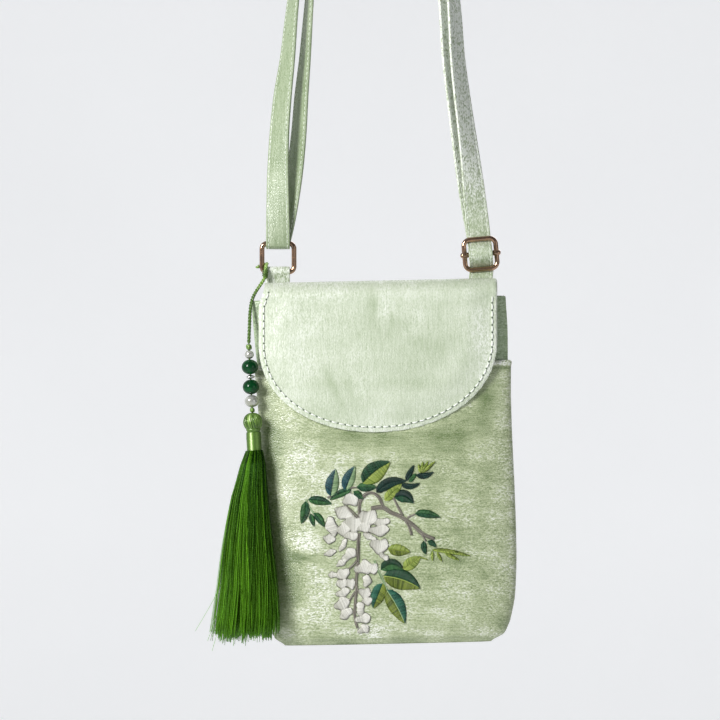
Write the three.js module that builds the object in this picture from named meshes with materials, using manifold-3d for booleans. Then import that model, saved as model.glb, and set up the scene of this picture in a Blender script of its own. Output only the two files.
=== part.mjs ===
// A small embroidered crossbody phone purse in pale green satin, as it hangs by its strap.
// It has a soft hollow pouch, a slip pocket on its front, a rounded flap folded over from the
// back, a ring on a cloth tab, a doubled strap with a slider, and a bead and tassel charm.
// Millimetres, +Z up, the front faces -Y. The origin is the underside of the strap's crown,
// where the peg or the shoulder carries it.

import * as THREE from "three";
import Module from "manifold-3d";

const wasm = await Module();
wasm.setup();

// Clearances
const clothGap = 0.3; // air between cloth pieces that lie on each other
const metalGap = 0.3; // air between a wire and the cloth or cord around it
const beadGap = 0.2; // air between neighbouring beads on the thread

// Hanging
const hangDrop = 320; // crown of the strap down to the fold of the flap
const pegRadius = 20; // radius of the bend at the crown

// Pouch
const pouchHalfWidth = 64;
const pouchHeight = 171.8;
const pouchHalfDepth = 8;
const pouchWall = 1.6;
const pouchBelowFold = 9; // rim of the pouch below the fold of the flap
const pouchRoundness = 2.6; // exponent of the rounded sections
const bagLean = 1.2; // degrees that the pouch and the flap hang lower at their left

// Slip pocket on the front
const pocketWall = 1.4;
const pocketHeight = 139.5; // bottom of the pouch up to the hem of the pocket
const pocketSlack = 1.2; // how far the middle of the pocket stands off the pouch
const pocketSideTurn = 5; // degrees that the pocket stops short of the side of the pouch

// Flap
const flapThick = 2;
const flapSideInset = 4.3; // the flap's side inside the pouch's side
const flapMiddle = 1; // middle of the flap, right of the pouch's middle
const flapLength = 75; // fold down to the tip
const flapStraight = 30; // fold down to where the rounded tip starts
const flapRoundness = 2.1; // exponent of the rounded tip
const flapRoot = 22; // fold down to the sewn edge on the back
const flapArchHeight = 7.5; // height of the fold above the rim's shoulders
const flapShoulderAir = 3.4; // air between the flap and the front of the pouch at its top
const flapCurl = 1.3; // how far the flap's sides turn back towards the pouch
const flapLeftTuck = 3; // how far the flap's left edge is drawn in at its fold
const flapTuckReach = 13; // below the fold, where the tuck has run out

// Strap
const strapWidth = 12;
const strapThick = 1.4;
const strapSewn = 14; // strap end sewn to the back, below the fold

// Ring and its tab
const ringInset = 14.5; // ring centre inside the pouch's side
const ringWire = 1.3; // wire radius
const ringSideClearance = 0.8; // each side of the strap
const ringHeight = 14.4; // between the centres of the top and bottom bars
const ringBend = 2.6; // bend radius of the corners, to the wire's centre
const ringAboveFold = 4.6; // bottom bar above the fold of the flap
const tabThick = 1.2;
const tabSewn = 14; // tab ends sewn to the back, below the fold
const tabFlare = 0.45; // share of the way from the tab's legs to its bend, below the ring

// Slider
const sliderInset = 11; // slider centre inside the pouch's side
const sliderWire = 1.25;
const sliderBar = 1.2; // radius of the middle bar
const sliderBarEnd = 0.9; // how far the middle bar stands out past the frame
const sliderBarChamfer = 0.4;
const sliderBarTip = 0.6; // radius of the middle bar's tips as a share of its own
const sliderSideClearance = 0.85;
const sliderBend = 3.2;
const sliderSlack = 1.5; // room for the strap between two bars, past what it fills
const sliderAboveFold = 6; // bottom bar above the fold of the flap
const sliderTilt = 5; // degrees that the slider leans with the strap

// Charm
const cordThick = 1.8;
const threadRadius = 0.45;
const threadHoleClearance = 0.3;
const upperKnot = { radius: 1.6, height: 2.8 };
const lowerKnot = { radius: 1.35, height: 2.2 };
const charmBeads = [
  { name: "bead_small_pearl", radius: 2.3, height: 4.4, colour: 0xf2efe8 },
  { name: "bead_green_upper", radius: 4.2, height: 7.6, colour: 0x07542a },
  { name: "bead_spacer", radius: 2.15, height: 2, colour: 0xd9d6cf },
  { name: "bead_green_lower", radius: 4.2, height: 7.6, colour: 0x07542a },
  { name: "bead_large_pearl", radius: 3.6, height: 6.3, colour: 0xf0e9d8 },
];
const headRadius = 4.75;
const headHeight = 9.4;
const headThreaded = 0.7; // share of the head's height that the thread runs down into it
const wrapRadius = 3.85;
const wrapWall = 1.6;
const wrapHeight = 9.6;
const skirtLength = 90;
const skirtHalfWidth = 15;
const skirtFlatness = 0.7; // depth of the skirt as a share of its width
const skirtLocks = 12;
const skirtRagged = 1.3; // how much longer or shorter a lock hangs
const charmTilt = { right: 3.1, forward: 1.8 }; // degrees

// Sections of the pouch from its rim to its bottom. up is a share of pouchHeight, left and
// right of pouchHalfWidth, front and back of pouchHalfDepth.
const pouchRows = [
  { up: 1.0, left: 0.977, right: 1.02, front: 0.66, back: 0.8 },
  { up: 0.9, left: 0.957, right: 1.035, front: 0.74, back: 0.86 },
  { up: 0.8, left: 0.93, right: 1.037, front: 0.83, back: 0.9 },
  { up: 0.66, left: 0.896, right: 1.04, front: 0.93, back: 0.96 },
  { up: 0.42, left: 0.852, right: 1.067, front: 1.02, back: 1.02 },
  { up: 0.24, left: 0.822, right: 1.08, front: 1.07, back: 1.04 },
  { up: 0.12, left: 0.805, right: 1.068, front: 1.06, back: 1.0 },
  { up: 0.05, left: 0.79, right: 1.03, front: 1.0, back: 0.9 },
  { up: 0.018, left: 0.77, right: 0.98, front: 0.7, back: 0.72 },
  { up: 0.0, left: 0.69, right: 0.88, front: 0.32, back: 0.42 },
];

// Strands of the strap, from the hardware up to the crown. up is a share of the strand's
// height, in the share of its way from the hardware to the crown, turn a share of the quarter
// turn that lays the strap flat on the peg, away the share of its starting depth still left.
const leftOuterStrand = [
  { up: 0.08, in: 0.0, turn: 0.2, away: 1.0 },
  { up: 0.165, in: 0.01, turn: 0.37, away: 0.95 },
  { up: 0.254, in: 0.075, turn: 0.45, away: 0.8 },
  { up: 0.343, in: 0.19, turn: 0.6, away: 0.6 },
  { up: 0.432, in: 0.285, turn: 0.7, away: 0.4 },
  { up: 0.62, in: 0.5, turn: 0.84, away: 0.15 },
  { up: 0.82, in: 0.77, turn: 0.95, away: 0.0 },
];
const leftInnerStrand = [
  { up: 0.08, in: 0.2, turn: 0.4, away: 1.0 },
  { up: 0.165, in: 0.335, turn: 0.55, away: 0.9 },
  { up: 0.254, in: 0.4, turn: 0.62, away: 0.7 },
  { up: 0.343, in: 0.48, turn: 0.72, away: 0.5 },
  { up: 0.432, in: 0.55, turn: 0.8, away: 0.3 },
  { up: 0.62, in: 0.68, turn: 0.9, away: 0.1 },
  { up: 0.82, in: 0.85, turn: 0.97, away: 0.0 },
];
const rightOuterStrand = [
  { up: 0.08, in: 0.08, turn: 0.22, away: 0.9 },
  { up: 0.16, in: 0.165, turn: 0.42, away: 0.6 },
  { up: 0.25, in: 0.28, turn: 0.51, away: 0.2 },
  { up: 0.34, in: 0.375, turn: 0.59, away: 0.0 },
  { up: 0.43, in: 0.435, turn: 0.65, away: 0.0 },
  { up: 0.62, in: 0.6, turn: 0.8, away: 0.0 },
  { up: 0.82, in: 0.8, turn: 0.94, away: 0.0 },
];
const rightInnerStrand = [
  { up: 0.08, in: 0.14, turn: 0.25, away: 1.1 },
  { up: 0.16, in: 0.275, turn: 0.48, away: 1.0 },
  { up: 0.25, in: 0.39, turn: 0.57, away: 0.6 },
  { up: 0.34, in: 0.5, turn: 0.66, away: 0.3 },
  { up: 0.43, in: 0.565, turn: 0.72, away: 0.1 },
  { up: 0.62, in: 0.7, turn: 0.85, away: 0.0 },
  { up: 0.82, in: 0.86, turn: 0.96, away: 0.0 },
];

// Sections of the tassel's skirt. down is a share of skirtLength, wide of skirtHalfWidth,
// drift a share of skirtLength to the left.
const skirtRows = [
  { down: 0.0, wide: 0.29, drift: 0.0 },
  { down: 0.08, wide: 0.43, drift: 0.012 },
  { down: 0.26, wide: 0.62, drift: 0.04 },
  { down: 0.52, wide: 0.8, drift: 0.063 },
  { down: 0.78, wide: 0.93, drift: 0.077 },
  { down: 0.93, wide: 0.99, drift: 0.092 },
  { down: 1.0, wide: 1.0, drift: 0.102 },
];

// Places that follow from the sizes
const foldZ = -hangDrop;
const pouchTopZ = foldZ - pouchBelowFold;
const pouchBottomZ = pouchTopZ - pouchHeight;
const tabStack = tabThick + clothGap / 2;
const flapBackY = -(tabStack + clothGap + flapThick / 2);
const pouchY =
  flapBackY -
  flapThick / 2 -
  clothGap -
  pouchHalfDepth * backShareAlong(1, 1 - flapRoot / pouchHeight);
const ringX = -(pouchHalfWidth - ringInset);
const ringBottomZ = foldZ + ringAboveFold;
const ringTopZ = ringBottomZ + ringHeight;
const ringHalfWidth = strapWidth / 2 + ringSideClearance + ringWire;
const sliderX = pouchHalfWidth - sliderInset;
const strapBehindBar = sliderWire + metalGap + strapThick / 2;
const strapEndOnBar = sliderBar + metalGap + strapThick / 2;
const strapOverBar = strapEndOnBar + strapThick + clothGap;
const sliderPitch = strapBehindBar + strapOverBar + sliderSlack;
const sliderHalfWidth = strapWidth / 2 + sliderSideClearance + sliderWire;
const sliderZ = foldZ + sliderAboveFold + sliderPitch;

// Materials
const satin = cloth(0xcfdfba);
const satinShade = cloth(0xb9cfa6);
const strapSatin = cloth(0xbfd3ad);
const roseGold = new THREE.MeshStandardMaterial({ color: 0xc79a6b, metalness: 1, roughness: 0.22 });
const greenSilk = new THREE.MeshStandardMaterial({ color: 0x4c8a28, roughness: 0.5 });
const darkSilk = new THREE.MeshStandardMaterial({ color: 0x2f7a1c, roughness: 0.55 });

function cloth(color) {
  return new THREE.MeshStandardMaterial({ color, roughness: 0.55, metalness: 0 });
}

// Numbers and tables

function radians(degrees) {
  return (degrees * Math.PI) / 180;
}

// Catmull-Rom value between b and c, at share t.
function spline(a, b, c, d, t) {
  const bend = 2 * a - 5 * b + 4 * c - d;
  const swing = 3 * (b - c) + d - a;
  return b + 0.5 * t * (c - a + t * (bend + t * swing));
}

// A row of the table at the given value of key, each column smoothly between its neighbours.
function rowAt(rows, key, value) {
  const rising = rows[rows.length - 1][key] > rows[0][key];
  const passed = rows.findIndex((row) => (rising ? row[key] >= value : row[key] <= value));
  const i = Math.min(Math.max(passed, 1), rows.length - 1);
  const [b, c] = [rows[i - 1], rows[i]];
  const [a, d] = [rows[Math.max(i - 2, 0)], rows[Math.min(i + 1, rows.length - 1)]];
  const t = Math.min(Math.max((value - b[key]) / (c[key] - b[key]), 0), 1);
  return Object.fromEntries(
    Object.keys(b).map((k) => [k, k === key ? value : spline(a[k], b[k], c[k], d[k], t)]),
  );
}

// Height of a point of the pouch or the flap, with the lean of the whole bag.
function leanedHeight(x, z) {
  return z + x * Math.tan(radians(bagLean));
}

function backShareAlong(highUp, lowUp) {
  return Math.max(rowAt(pouchRows, "up", highUp).back, rowAt(pouchRows, "up", lowUp).back);
}

// Solids

// A closed mesh from points and triangles, turned so that its faces point out.
function solid(name, points, triangles, material) {
  const volume = triangles.reduce((sum, [a, b, c]) => {
    return sum + points[a].dot(new THREE.Vector3().crossVectors(points[b], points[c]));
  }, 0);
  const facing = volume < 0 ? triangles.map(([a, b, c]) => [a, c, b]) : triangles;
  const geometry = new THREE.BufferGeometry().setFromPoints(points);
  geometry.setIndex(facing.flat());
  geometry.computeVertexNormals();
  return named(name, geometry, material);
}

function named(name, geometry, material) {
  const mesh = new THREE.Mesh(geometry, material);
  mesh.name = name;
  return mesh;
}

// Triangles between neighbouring rings of a list of rings, each ring a closed loop of count.
function bands(ringCount, count, start = 0) {
  const triangles = [];
  for (let i = 0; i + 1 < ringCount; i++) {
    for (let j = 0; j < count; j++) {
      const a = start + i * count + j;
      const b = start + i * count + ((j + 1) % count);
      triangles.push([a, b, b + count], [a, b + count, a + count]);
    }
  }
  return triangles;
}

// A fan from a new middle point to a ring, closing it. flip turns its faces round.
function cap(points, first, count, flip) {
  const middle = new THREE.Vector3();
  for (let j = 0; j < count; j++) middle.addScaledVector(points[first + j], 1 / count);
  const centre = points.push(middle) - 1;
  const fan = [];
  for (let j = 0; j < count; j++) {
    const a = first + j;
    const b = first + ((j + 1) % count);
    fan.push(flip ? [centre, b, a] : [centre, a, b]);
  }
  return fan;
}

// A solid lofted through closed rings of as many points each, with both ends capped.
function loft(name, rings, material) {
  const count = rings[0].length;
  const points = rings.flat();
  const triangles = bands(rings.length, count);
  triangles.push(...cap(points, 0, count, true));
  triangles.push(...cap(points, (rings.length - 1) * count, count, false));
  return solid(name, points, triangles, material);
}

// A sheet with two faces: each is a grid of rows of points, and the rim joins them.
function sheet(name, outer, inner, material) {
  const rows = outer.length;
  const columns = outer[0].length;
  const points = [...outer.flat(), ...inner.flat()];
  const other = rows * columns;
  const triangles = [];
  for (let i = 0; i + 1 < rows; i++) {
    for (let j = 0; j + 1 < columns; j++) {
      const a = i * columns + j;
      const [b, c, d] = [a + 1, a + columns + 1, a + columns];
      triangles.push([a, b, c], [a, c, d]);
      triangles.push([a + other, c + other, b + other], [a + other, d + other, c + other]);
    }
  }
  const rim = [];
  for (let j = 0; j < columns; j++) rim.push(j);
  for (let i = 1; i < rows; i++) rim.push(i * columns + columns - 1);
  for (let j = columns - 2; j >= 0; j--) rim.push((rows - 1) * columns + j);
  for (let i = rows - 2; i > 0; i--) rim.push(i * columns);
  rim.forEach((a, k) => {
    const b = rim[(k + 1) % rim.length];
    triangles.push([b, a, a + other], [b, a + other, b + other]);
  });
  return solid(name, points, triangles, material);
}

// A flat strip along stations of place, width direction and face direction.
function strip(name, stations, width, thick, material) {
  const corner = thick * 0.3;
  const [w, t] = [width / 2, thick / 2];
  const outline = [
    [-w, -t + corner],
    [-w + corner, -t],
    [w - corner, -t],
    [w, -t + corner],
    [w, t - corner],
    [w - corner, t],
    [-w + corner, t],
    [-w, t - corner],
  ];
  const rings = stations.map(({ place, across, face }) =>
    outline.map(([u, v]) =>
      place.clone().addScaledVector(across, u).addScaledVector(face, v),
    ),
  );
  return loft(name, rings, material);
}

// Stations along a path of places, each with the direction that its width should follow.
function stationsOf(path) {
  return path.map(({ place, across }, i) => {
    const before = path[Math.max(i - 1, 0)].place;
    const after = path[Math.min(i + 1, path.length - 1)].place;
    const along = new THREE.Vector3().subVectors(after, before).normalize();
    const level = across.clone().addScaledVector(along, -across.dot(along)).normalize();
    return { place, across: level, face: new THREE.Vector3().crossVectors(level, along) };
  });
}

// A round wire along a closed flat path in the XZ plane.
function closedWire(path, radius, sides) {
  const points = [];
  path.forEach((centre, i) => {
    const before = path[(i + path.length - 1) % path.length];
    const after = path[(i + 1) % path.length];
    const along = new THREE.Vector2().subVectors(after, before).normalize();
    for (let j = 0; j < sides; j++) {
      const angle = (2 * Math.PI * j) / sides;
      const out = radius * Math.cos(angle);
      points.push(
        new THREE.Vector3(centre.x + out * along.y, radius * Math.sin(angle), centre.y - out * along.x),
      );
    }
  });
  const triangles = bands(path.length, sides);
  const last = (path.length - 1) * sides;
  for (let j = 0; j < sides; j++) {
    const next = (j + 1) % sides;
    triangles.push([last + j, last + next, next], [last + j, next, j]);
  }
  return { points, triangles };
}

// Middle line of a rounded rectangle, as a shape's own points.
function roundedRectangle(halfWidth, halfHeight, bend, arcSteps) {
  const path = [];
  const corners = [
    [1, 1, 0],
    [-1, 1, 90],
    [-1, -1, 180],
    [1, -1, 270],
  ];
  for (const [sx, sz, from] of corners) {
    for (let i = 0; i <= arcSteps; i++) {
      const angle = radians(from + (90 * i) / arcSteps);
      path.push(
        new THREE.Vector2(
          sx * (halfWidth - bend) + bend * Math.cos(angle),
          sz * (halfHeight - bend) + bend * Math.sin(angle),
        ),
      );
    }
  }
  return path;
}

// Turned solid: a profile of radius and height, standing along Z.
function turned(name, profile, sides, material) {
  const geometry = new THREE.LatheGeometry(
    profile.map(([radius, z]) => new THREE.Vector2(radius, z)),
    sides,
  );
  return named(name, geometry.rotateX(Math.PI / 2), material);
}

function turnedBead(name, radius, height, hole, sides, material) {
  const flat = Math.asin(Math.min(hole / radius, 0.9));
  const bulge = 7;
  const profile = [];
  for (let i = 0; i <= bulge; i++) {
    const angle = -Math.PI / 2 + flat + ((Math.PI - 2 * flat) * i) / bulge;
    const edge = i === 0 || i === bulge;
    profile.push([edge ? hole : radius * Math.cos(angle), (height / 2) * Math.sin(angle)]);
  }
  profile.push(profile[0]);
  return turned(name, profile, sides, material);
}

// Pouch

// One point of the rounded section at a height. angle 0 is the right side, 180 the left side,
// 270 the middle of the front. grow widens the section, lift adds to its front alone.
function sectionPoint(up, angle, grow, lift = 0) {
  const row = rowAt(pouchRows, "up", up);
  const c = Math.cos(radians(angle));
  const s = Math.sin(radians(angle));
  const power = 2 / pouchRoundness;
  const halfWidth = (pouchHalfWidth * (row.left + row.right)) / 2 + grow;
  const middle = (pouchHalfWidth * (row.right - row.left)) / 2;
  const deep = pouchHalfDepth * (s < 0 ? row.front : row.back) + grow + (s < 0 ? lift : 0);
  return new THREE.Vector2(
    middle + halfWidth * Math.sign(c) * Math.abs(c) ** power,
    pouchY + deep * Math.sign(s) * Math.abs(s) ** power,
  );
}

function pouch() {
  const around = 32;
  const ring = (up, grow, z) => {
    const points = [];
    for (let j = 0; j < around; j++) {
      const p = sectionPoint(up, (360 * j) / around, grow);
      points.push(new THREE.Vector3(p.x, p.y, leanedHeight(p.x, z)));
    }
    return points;
  };
  const outside = pouchRows.map(({ up }) => ring(up, 0, pouchBottomZ + pouchHeight * up));
  const floorZ = pouchBottomZ + pouchWall;
  const inside = pouchRows
    .map(({ up }) => ring(up, -pouchWall, floorZ + (pouchTopZ - floorZ) * up))
    .reverse();
  return loft("pouch_body", [...outside.reverse(), ...inside.reverse()], satin);
}

// Front pocket

// How much of the way under the bottom the cloth has turned at a height.
function underShare(up) {
  const turnHeight = 0.05;
  return Math.max(0, 1 - up / turnHeight);
}

function pocketPoint(up, angle, offset) {
  const across = Math.sin(radians(angle - 180));
  const hang = Math.min(1, up / 0.25) * across ** 2;
  const p = sectionPoint(up, angle, offset, pocketSlack * hang);
  const z = pouchBottomZ + pouchHeight * up - offset * underShare(up);
  return new THREE.Vector3(p.x, p.y, leanedHeight(p.x, z));
}

const pocketTopShare = pocketHeight / pouchHeight;
const pocketHeights = [
  pocketTopShare,
  ...pouchRows.map((row) => row.up).filter((up) => up < pocketTopShare - 0.05),
];

function frontPocket() {
  const columns = 20;
  const grid = (offset) =>
    pocketHeights.map((up) => {
      const row = [];
      for (let j = 0; j <= columns; j++) {
        const turn = 180 - 2 * pocketSideTurn;
        row.push(pocketPoint(up, 180 + pocketSideTurn + (turn * j) / columns, offset));
      }
      return row;
    });
  return sheet("front_pocket", grid(clothGap + pocketWall), grid(clothGap), satin);
}

// Flap

const flapHalfWidth = pouchHalfWidth - flapSideInset;
const flapTipUp = (pouchTopZ - pouchBottomZ - (flapLength - pouchBelowFold)) / pouchHeight;
const flapTipY =
  pocketPoint(flapTipUp, 270, clothGap + pocketWall).y - clothGap - flapThick / 2;
const flapShoulderY =
  sectionPoint(1, 270, 0).y - flapShoulderAir - flapThick / 2;

// How far a place on the flap's left is drawn in, by its share of the way out to the edge.
function flapTuck(side, below) {
  return flapLeftTuck * side ** 2 * (1 - THREE.MathUtils.smoothstep(below, 0, flapTuckReach));
}

// Middle surface of the flap across its fold: place and outward direction at each step, from
// the sewn edge on the back, over the fold and down the front. x picks the column.
function flapColumn(x) {
  const side = Math.min(Math.abs(x) / flapHalfWidth, 1);
  const round = (1 - side ** flapRoundness) ** (1 / flapRoundness);
  const endBelow = flapStraight + (flapLength - flapStraight) * round;
  const curl = flapCurl * side ** 2;
  const archSteps = 8;
  const frontSteps = 7;
  const shoulder = flapArchHeight;
  const line = [new THREE.Vector2(flapBackY, -flapRoot)];
  const middleY = (flapBackY + flapShoulderY) / 2;
  const halfSpan = (flapBackY - flapShoulderY) / 2;
  for (let i = 0; i <= archSteps; i++) {
    const angle = (Math.PI * i) / archSteps;
    line.push(
      new THREE.Vector2(middleY + halfSpan * Math.cos(angle), shoulder * (Math.sin(angle) - 1)),
    );
  }
  for (let i = 1; i <= frontSteps; i++) {
    const below = shoulder + ((endBelow - shoulder) * i) / frontSteps;
    const share = (below - shoulder) / (flapLength - shoulder);
    const ease = Math.sin((share * Math.PI) / 2);
    line.push(new THREE.Vector2(flapShoulderY + (flapTipY - flapShoulderY) * ease, -below));
  }
  return line.map((p, i) => {
    const before = line[Math.max(i - 1, 0)];
    const after = line[Math.min(i + 1, line.length - 1)];
    const along = new THREE.Vector2().subVectors(after, before).normalize();
    const onFront = THREE.MathUtils.smoothstep(i, archSteps / 2, archSteps + 2);
    const height = leanedHeight(x, foldZ + p.y - flapThick / 2);
    const tuckedX = x + flapMiddle + (x < 0 ? flapTuck(side, -p.y) : 0);
    const place = new THREE.Vector3(tuckedX, p.x + curl * onFront, height);
    return { place, out: new THREE.Vector3(0, along.y, -along.x).negate() };
  });
}

function flap() {
  const columns = 16;
  const grid = (offset) => {
    const lines = [];
    for (let j = 0; j <= columns; j++) {
      const x = flapHalfWidth * Math.sin(radians(-90 + (180 * j) / columns));
      lines.push(flapColumn(x).map(({ place, out }) => place.clone().addScaledVector(out, offset)));
    }
    return lines;
  };
  return sheet("flap", grid(flapThick / 2), grid(-flapThick / 2), satin);
}

// Ring and tab

function ring() {
  const path = roundedRectangle(ringHalfWidth, ringHeight / 2, ringBend, 5);
  const { points, triangles } = closedWire(path, ringWire, 10);
  const mesh = solid("ring", points, triangles, roseGold);
  mesh.position.set(ringX, 0, (ringTopZ + ringBottomZ) / 2);
  return mesh;
}

// A strip doubled over the ring's bottom bar, with both ends sewn to the back.
function ringTab() {
  const bend = ringWire + metalGap + tabThick / 2;
  const leg = tabStack - tabThick / 2;
  const across = new THREE.Vector3(1, 0, 0);
  const side = (sign) => [
    { y: sign * leg, z: foldZ - tabSewn },
    { y: sign * leg, z: foldZ - tabSewn / 2 },
    { y: sign * leg, z: foldZ - ringWire / 2 },
    { y: sign * (leg + (bend - leg) * tabFlare), z: ringBottomZ - bend },
  ];
  const arc = [];
  for (let angle = -20; angle <= 200; angle += 20) {
    arc.push({
      y: -bend * Math.cos(radians(angle)),
      z: ringBottomZ + bend * Math.sin(radians(angle)),
    });
  }
  const path = [...side(-1), ...arc, ...side(1).reverse()].map(({ y, z }) => ({
    place: new THREE.Vector3(ringX, y, z),
    across,
  }));
  return strip("ring_tab", stationsOf(path), strapWidth, tabThick, satinShade);
}

// Slider: a bent wire frame with its middle bar soldered across

function asManifold({ points, triangles }) {
  return new wasm.Manifold(
    new wasm.Mesh({
      numProp: 3,
      vertProperties: new Float32Array(points.flatMap((p) => [p.x, p.y, p.z])),
      triVerts: new Uint32Array(triangles.flat()),
    }),
  );
}

function sliderBarSolid(sides) {
  const reach = sliderHalfWidth + sliderWire + sliderBarEnd;
  const stops = [
    [-reach, sliderBarTip],
    [-reach + sliderBarChamfer, 1],
    [reach - sliderBarChamfer, 1],
    [reach, sliderBarTip],
  ];
  const rings = stops.map(([x, share]) => {
    const loop = [];
    for (let j = 0; j < sides; j++) {
      const angle = (2 * Math.PI * (j + 0.5)) / sides;
      const radius = sliderBar * share;
      loop.push(new THREE.Vector3(x, -radius * Math.cos(angle), radius * Math.sin(angle)));
    }
    return loop;
  });
  const points = rings.flat();
  const triangles = bands(rings.length, sides);
  triangles.push(...cap(points, 0, sides, true));
  triangles.push(...cap(points, (rings.length - 1) * sides, sides, false));
  return { points, triangles };
}

function slider() {
  const path = roundedRectangle(sliderHalfWidth, sliderPitch, sliderBend, 5);
  const frame = asManifold(closedWire(path, sliderWire, 10));
  const bar = asManifold(sliderBarSolid(10));
  const joined = frame.add(bar).getMesh();
  const geometry = new THREE.BufferGeometry();
  geometry.setAttribute("position", new THREE.BufferAttribute(joined.vertProperties, 3));
  geometry.setIndex(new THREE.BufferAttribute(joined.triVerts, 1));
  geometry.computeVertexNormals();
  return named("slider", geometry, roseGold);
}

// The slider and the stretch of strap inside it lean together.
const sliderPose = new THREE.Matrix4()
  .makeTranslation(sliderX, 0, sliderZ)
  .multiply(new THREE.Matrix4().makeRotationY(radians(-sliderTilt)));

// Strap

// Tangent from the side of one round bar to the side of the next, in depth and height. side is
// 1 behind a bar and -1 in front of it. Returns the angle on both bars.
function beltAngle(from, to) {
  const gap = new THREE.Vector2(to.y - from.y, to.z - from.z);
  const heading = Math.atan2(gap.y, gap.x);
  const turn = Math.asin((from.side * from.radius - to.side * to.radius) / gap.length());
  return heading - Math.PI / 2 + turn;
}

function barArc(bar, fromAngle, toAngle, steps) {
  const places = [];
  for (let i = 0; i <= steps; i++) {
    const angle = fromAngle + ((toAngle - fromAngle) * i) / steps;
    places.push({
      y: bar.y + bar.side * bar.radius * Math.cos(angle),
      z: bar.z + bar.side * bar.radius * Math.sin(angle),
    });
  }
  return places;
}

// Up through the slider: behind the bottom bar, over the middle bar, behind the top bar.
function throughSlider() {
  const bars = [
    { y: 0, z: -sliderPitch, radius: strapBehindBar, side: 1 },
    { y: 0, z: 0, radius: strapOverBar, side: -1 },
    { y: 0, z: sliderPitch, radius: strapBehindBar, side: 1 },
  ];
  const crossings = [beltAngle(bars[0], bars[1]), beltAngle(bars[1], bars[2])];
  return [
    ...barArc(bars[0], radians(-15), crossings[0], 5),
    ...barArc(bars[1], crossings[0], crossings[1], 7),
    ...barArc(bars[2], crossings[1], 0, 5),
  ].map(inSlider);
}

// The strap's other end: down behind the top bar and once round the middle bar.
function endOnSlider() {
  const behindBoth = strapBehindBar + strapThick + clothGap;
  const start = { y: behindBoth, z: sliderPitch };
  const onBar = { y: 0, z: 0, radius: strapEndOnBar, side: 1 };
  const wrapEnd = radians(-205);
  return [start, ...barArc(onBar, radians(8), wrapEnd, 9)].map(inSlider);
}

function inSlider({ y, z }) {
  return {
    place: new THREE.Vector3(0, y, z).applyMatrix4(sliderPose),
    across: new THREE.Vector3(1, 0, 0).transformDirection(sliderPose),
  };
}

// One strand from its hardware up to where it meets the crown's bend.
function strand(rows, side, base, crownRadius) {
  const topX = side * crownRadius;
  const height = -pegRadius - base.z;
  const all = [
    { up: 0, in: 0, turn: 0, away: 1 },
    ...rows,
    { up: 1, in: 1, turn: 1, away: 0 },
  ];
  const steps = 15;
  const path = [];
  for (let i = 1; i <= steps; i++) {
    const up = i / steps;
    const row = rowAt(all, "up", up);
    const angle = (row.turn * Math.PI) / 2;
    path.push({
      place: new THREE.Vector3(
        base.x + (topX - base.x) * row.in,
        base.y * row.away,
        base.z + height * up,
      ),
      across: new THREE.Vector3(side * Math.cos(angle), Math.sin(angle), 0),
    });
  }
  return path;
}

function crown(radius) {
  const steps = 8;
  const path = [];
  for (let i = 1; i < steps; i++) {
    const angle = (Math.PI * i) / steps;
    path.push({
      place: new THREE.Vector3(radius * Math.cos(angle), 0, -pegRadius + radius * Math.sin(angle)),
      across: new THREE.Vector3(0, 1, 0),
    });
  }
  return path;
}

function strapPath() {
  const inner = pegRadius + strapThick / 2;
  const outer = inner + strapThick + clothGap;
  const onBack = flapBackY + flapThick / 2 + clothGap + strapThick / 2;
  const sewn = [-strapSewn, -strapSewn / 2, 0].map((below) => ({
    place: new THREE.Vector3(sliderX, onBack, foldZ + below),
    across: new THREE.Vector3(1, 0, 0),
  }));
  const through = throughSlider();
  const end = endOnSlider();
  const bend = ringWire + metalGap + strapThick / 2;
  const roundRing = [];
  for (let angle = 0; angle <= 180; angle += 30) {
    roundRing.push({
      place: new THREE.Vector3(
        ringX,
        -bend * Math.cos(radians(angle)),
        ringTopZ - bend * Math.sin(radians(angle)),
      ),
      across: new THREE.Vector3(-1, 0, 0),
    });
  }
  const front = new THREE.Vector3(ringX, -bend, ringTopZ);
  const behind = new THREE.Vector3(ringX, bend, ringTopZ);
  return [
    ...sewn,
    ...through,
    ...strand(rightOuterStrand, 1, through[through.length - 1].place, outer),
    ...crown(outer),
    ...strand(leftOuterStrand, -1, front, outer).reverse(),
    ...roundRing,
    ...strand(leftInnerStrand, -1, behind, inner),
    ...crown(inner).reverse(),
    ...strand(rightInnerStrand, 1, end[0].place, inner).reverse(),
    ...end,
  ];
}

function strap() {
  return strip("shoulder_strap", stationsOf(strapPath()), strapWidth, strapThick, strapSatin);
}

// Charm

const ringSideX = ringX - ringHalfWidth;
const hitchBend = ringWire + metalGap + cordThick / 2;

// The cord's route from its turn round the ring's left side, over the pouch's corner and down
// to the first knot. x and y are from the ring's left wire, z from its bottom bar.
const cordRoute = [
  [-hitchBend, 0.4, 2.4],
  [-1.8, 1.8, 2.8],
  [0, hitchBend, 3.3],
  [1.8, 1.8, 3.8],
  [hitchBend, 0, 4.1],
  [2.2, -1.9, 3.4],
  [2.0, -3.5, 2.2],
  [1.8, -4.2, 0.2],
  [1.4, -4.8, -3.1],
  [-0.4, -6.2, -6.3],
  [-2.9, -9.2, -10.3],
  [-4.4, -12.0, -13.6],
  [-5.1, -14.0, -16.6],
  [-5.5, -15.8, -20.2],
  [-5.7, -17.2, -24.6],
  [-5.85, -18.6, -30.5],
  [-6.05, -19.3, -36.4],
].map(([x, y, z]) => new THREE.Vector3(ringSideX + x, y, ringBottomZ + z));

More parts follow.
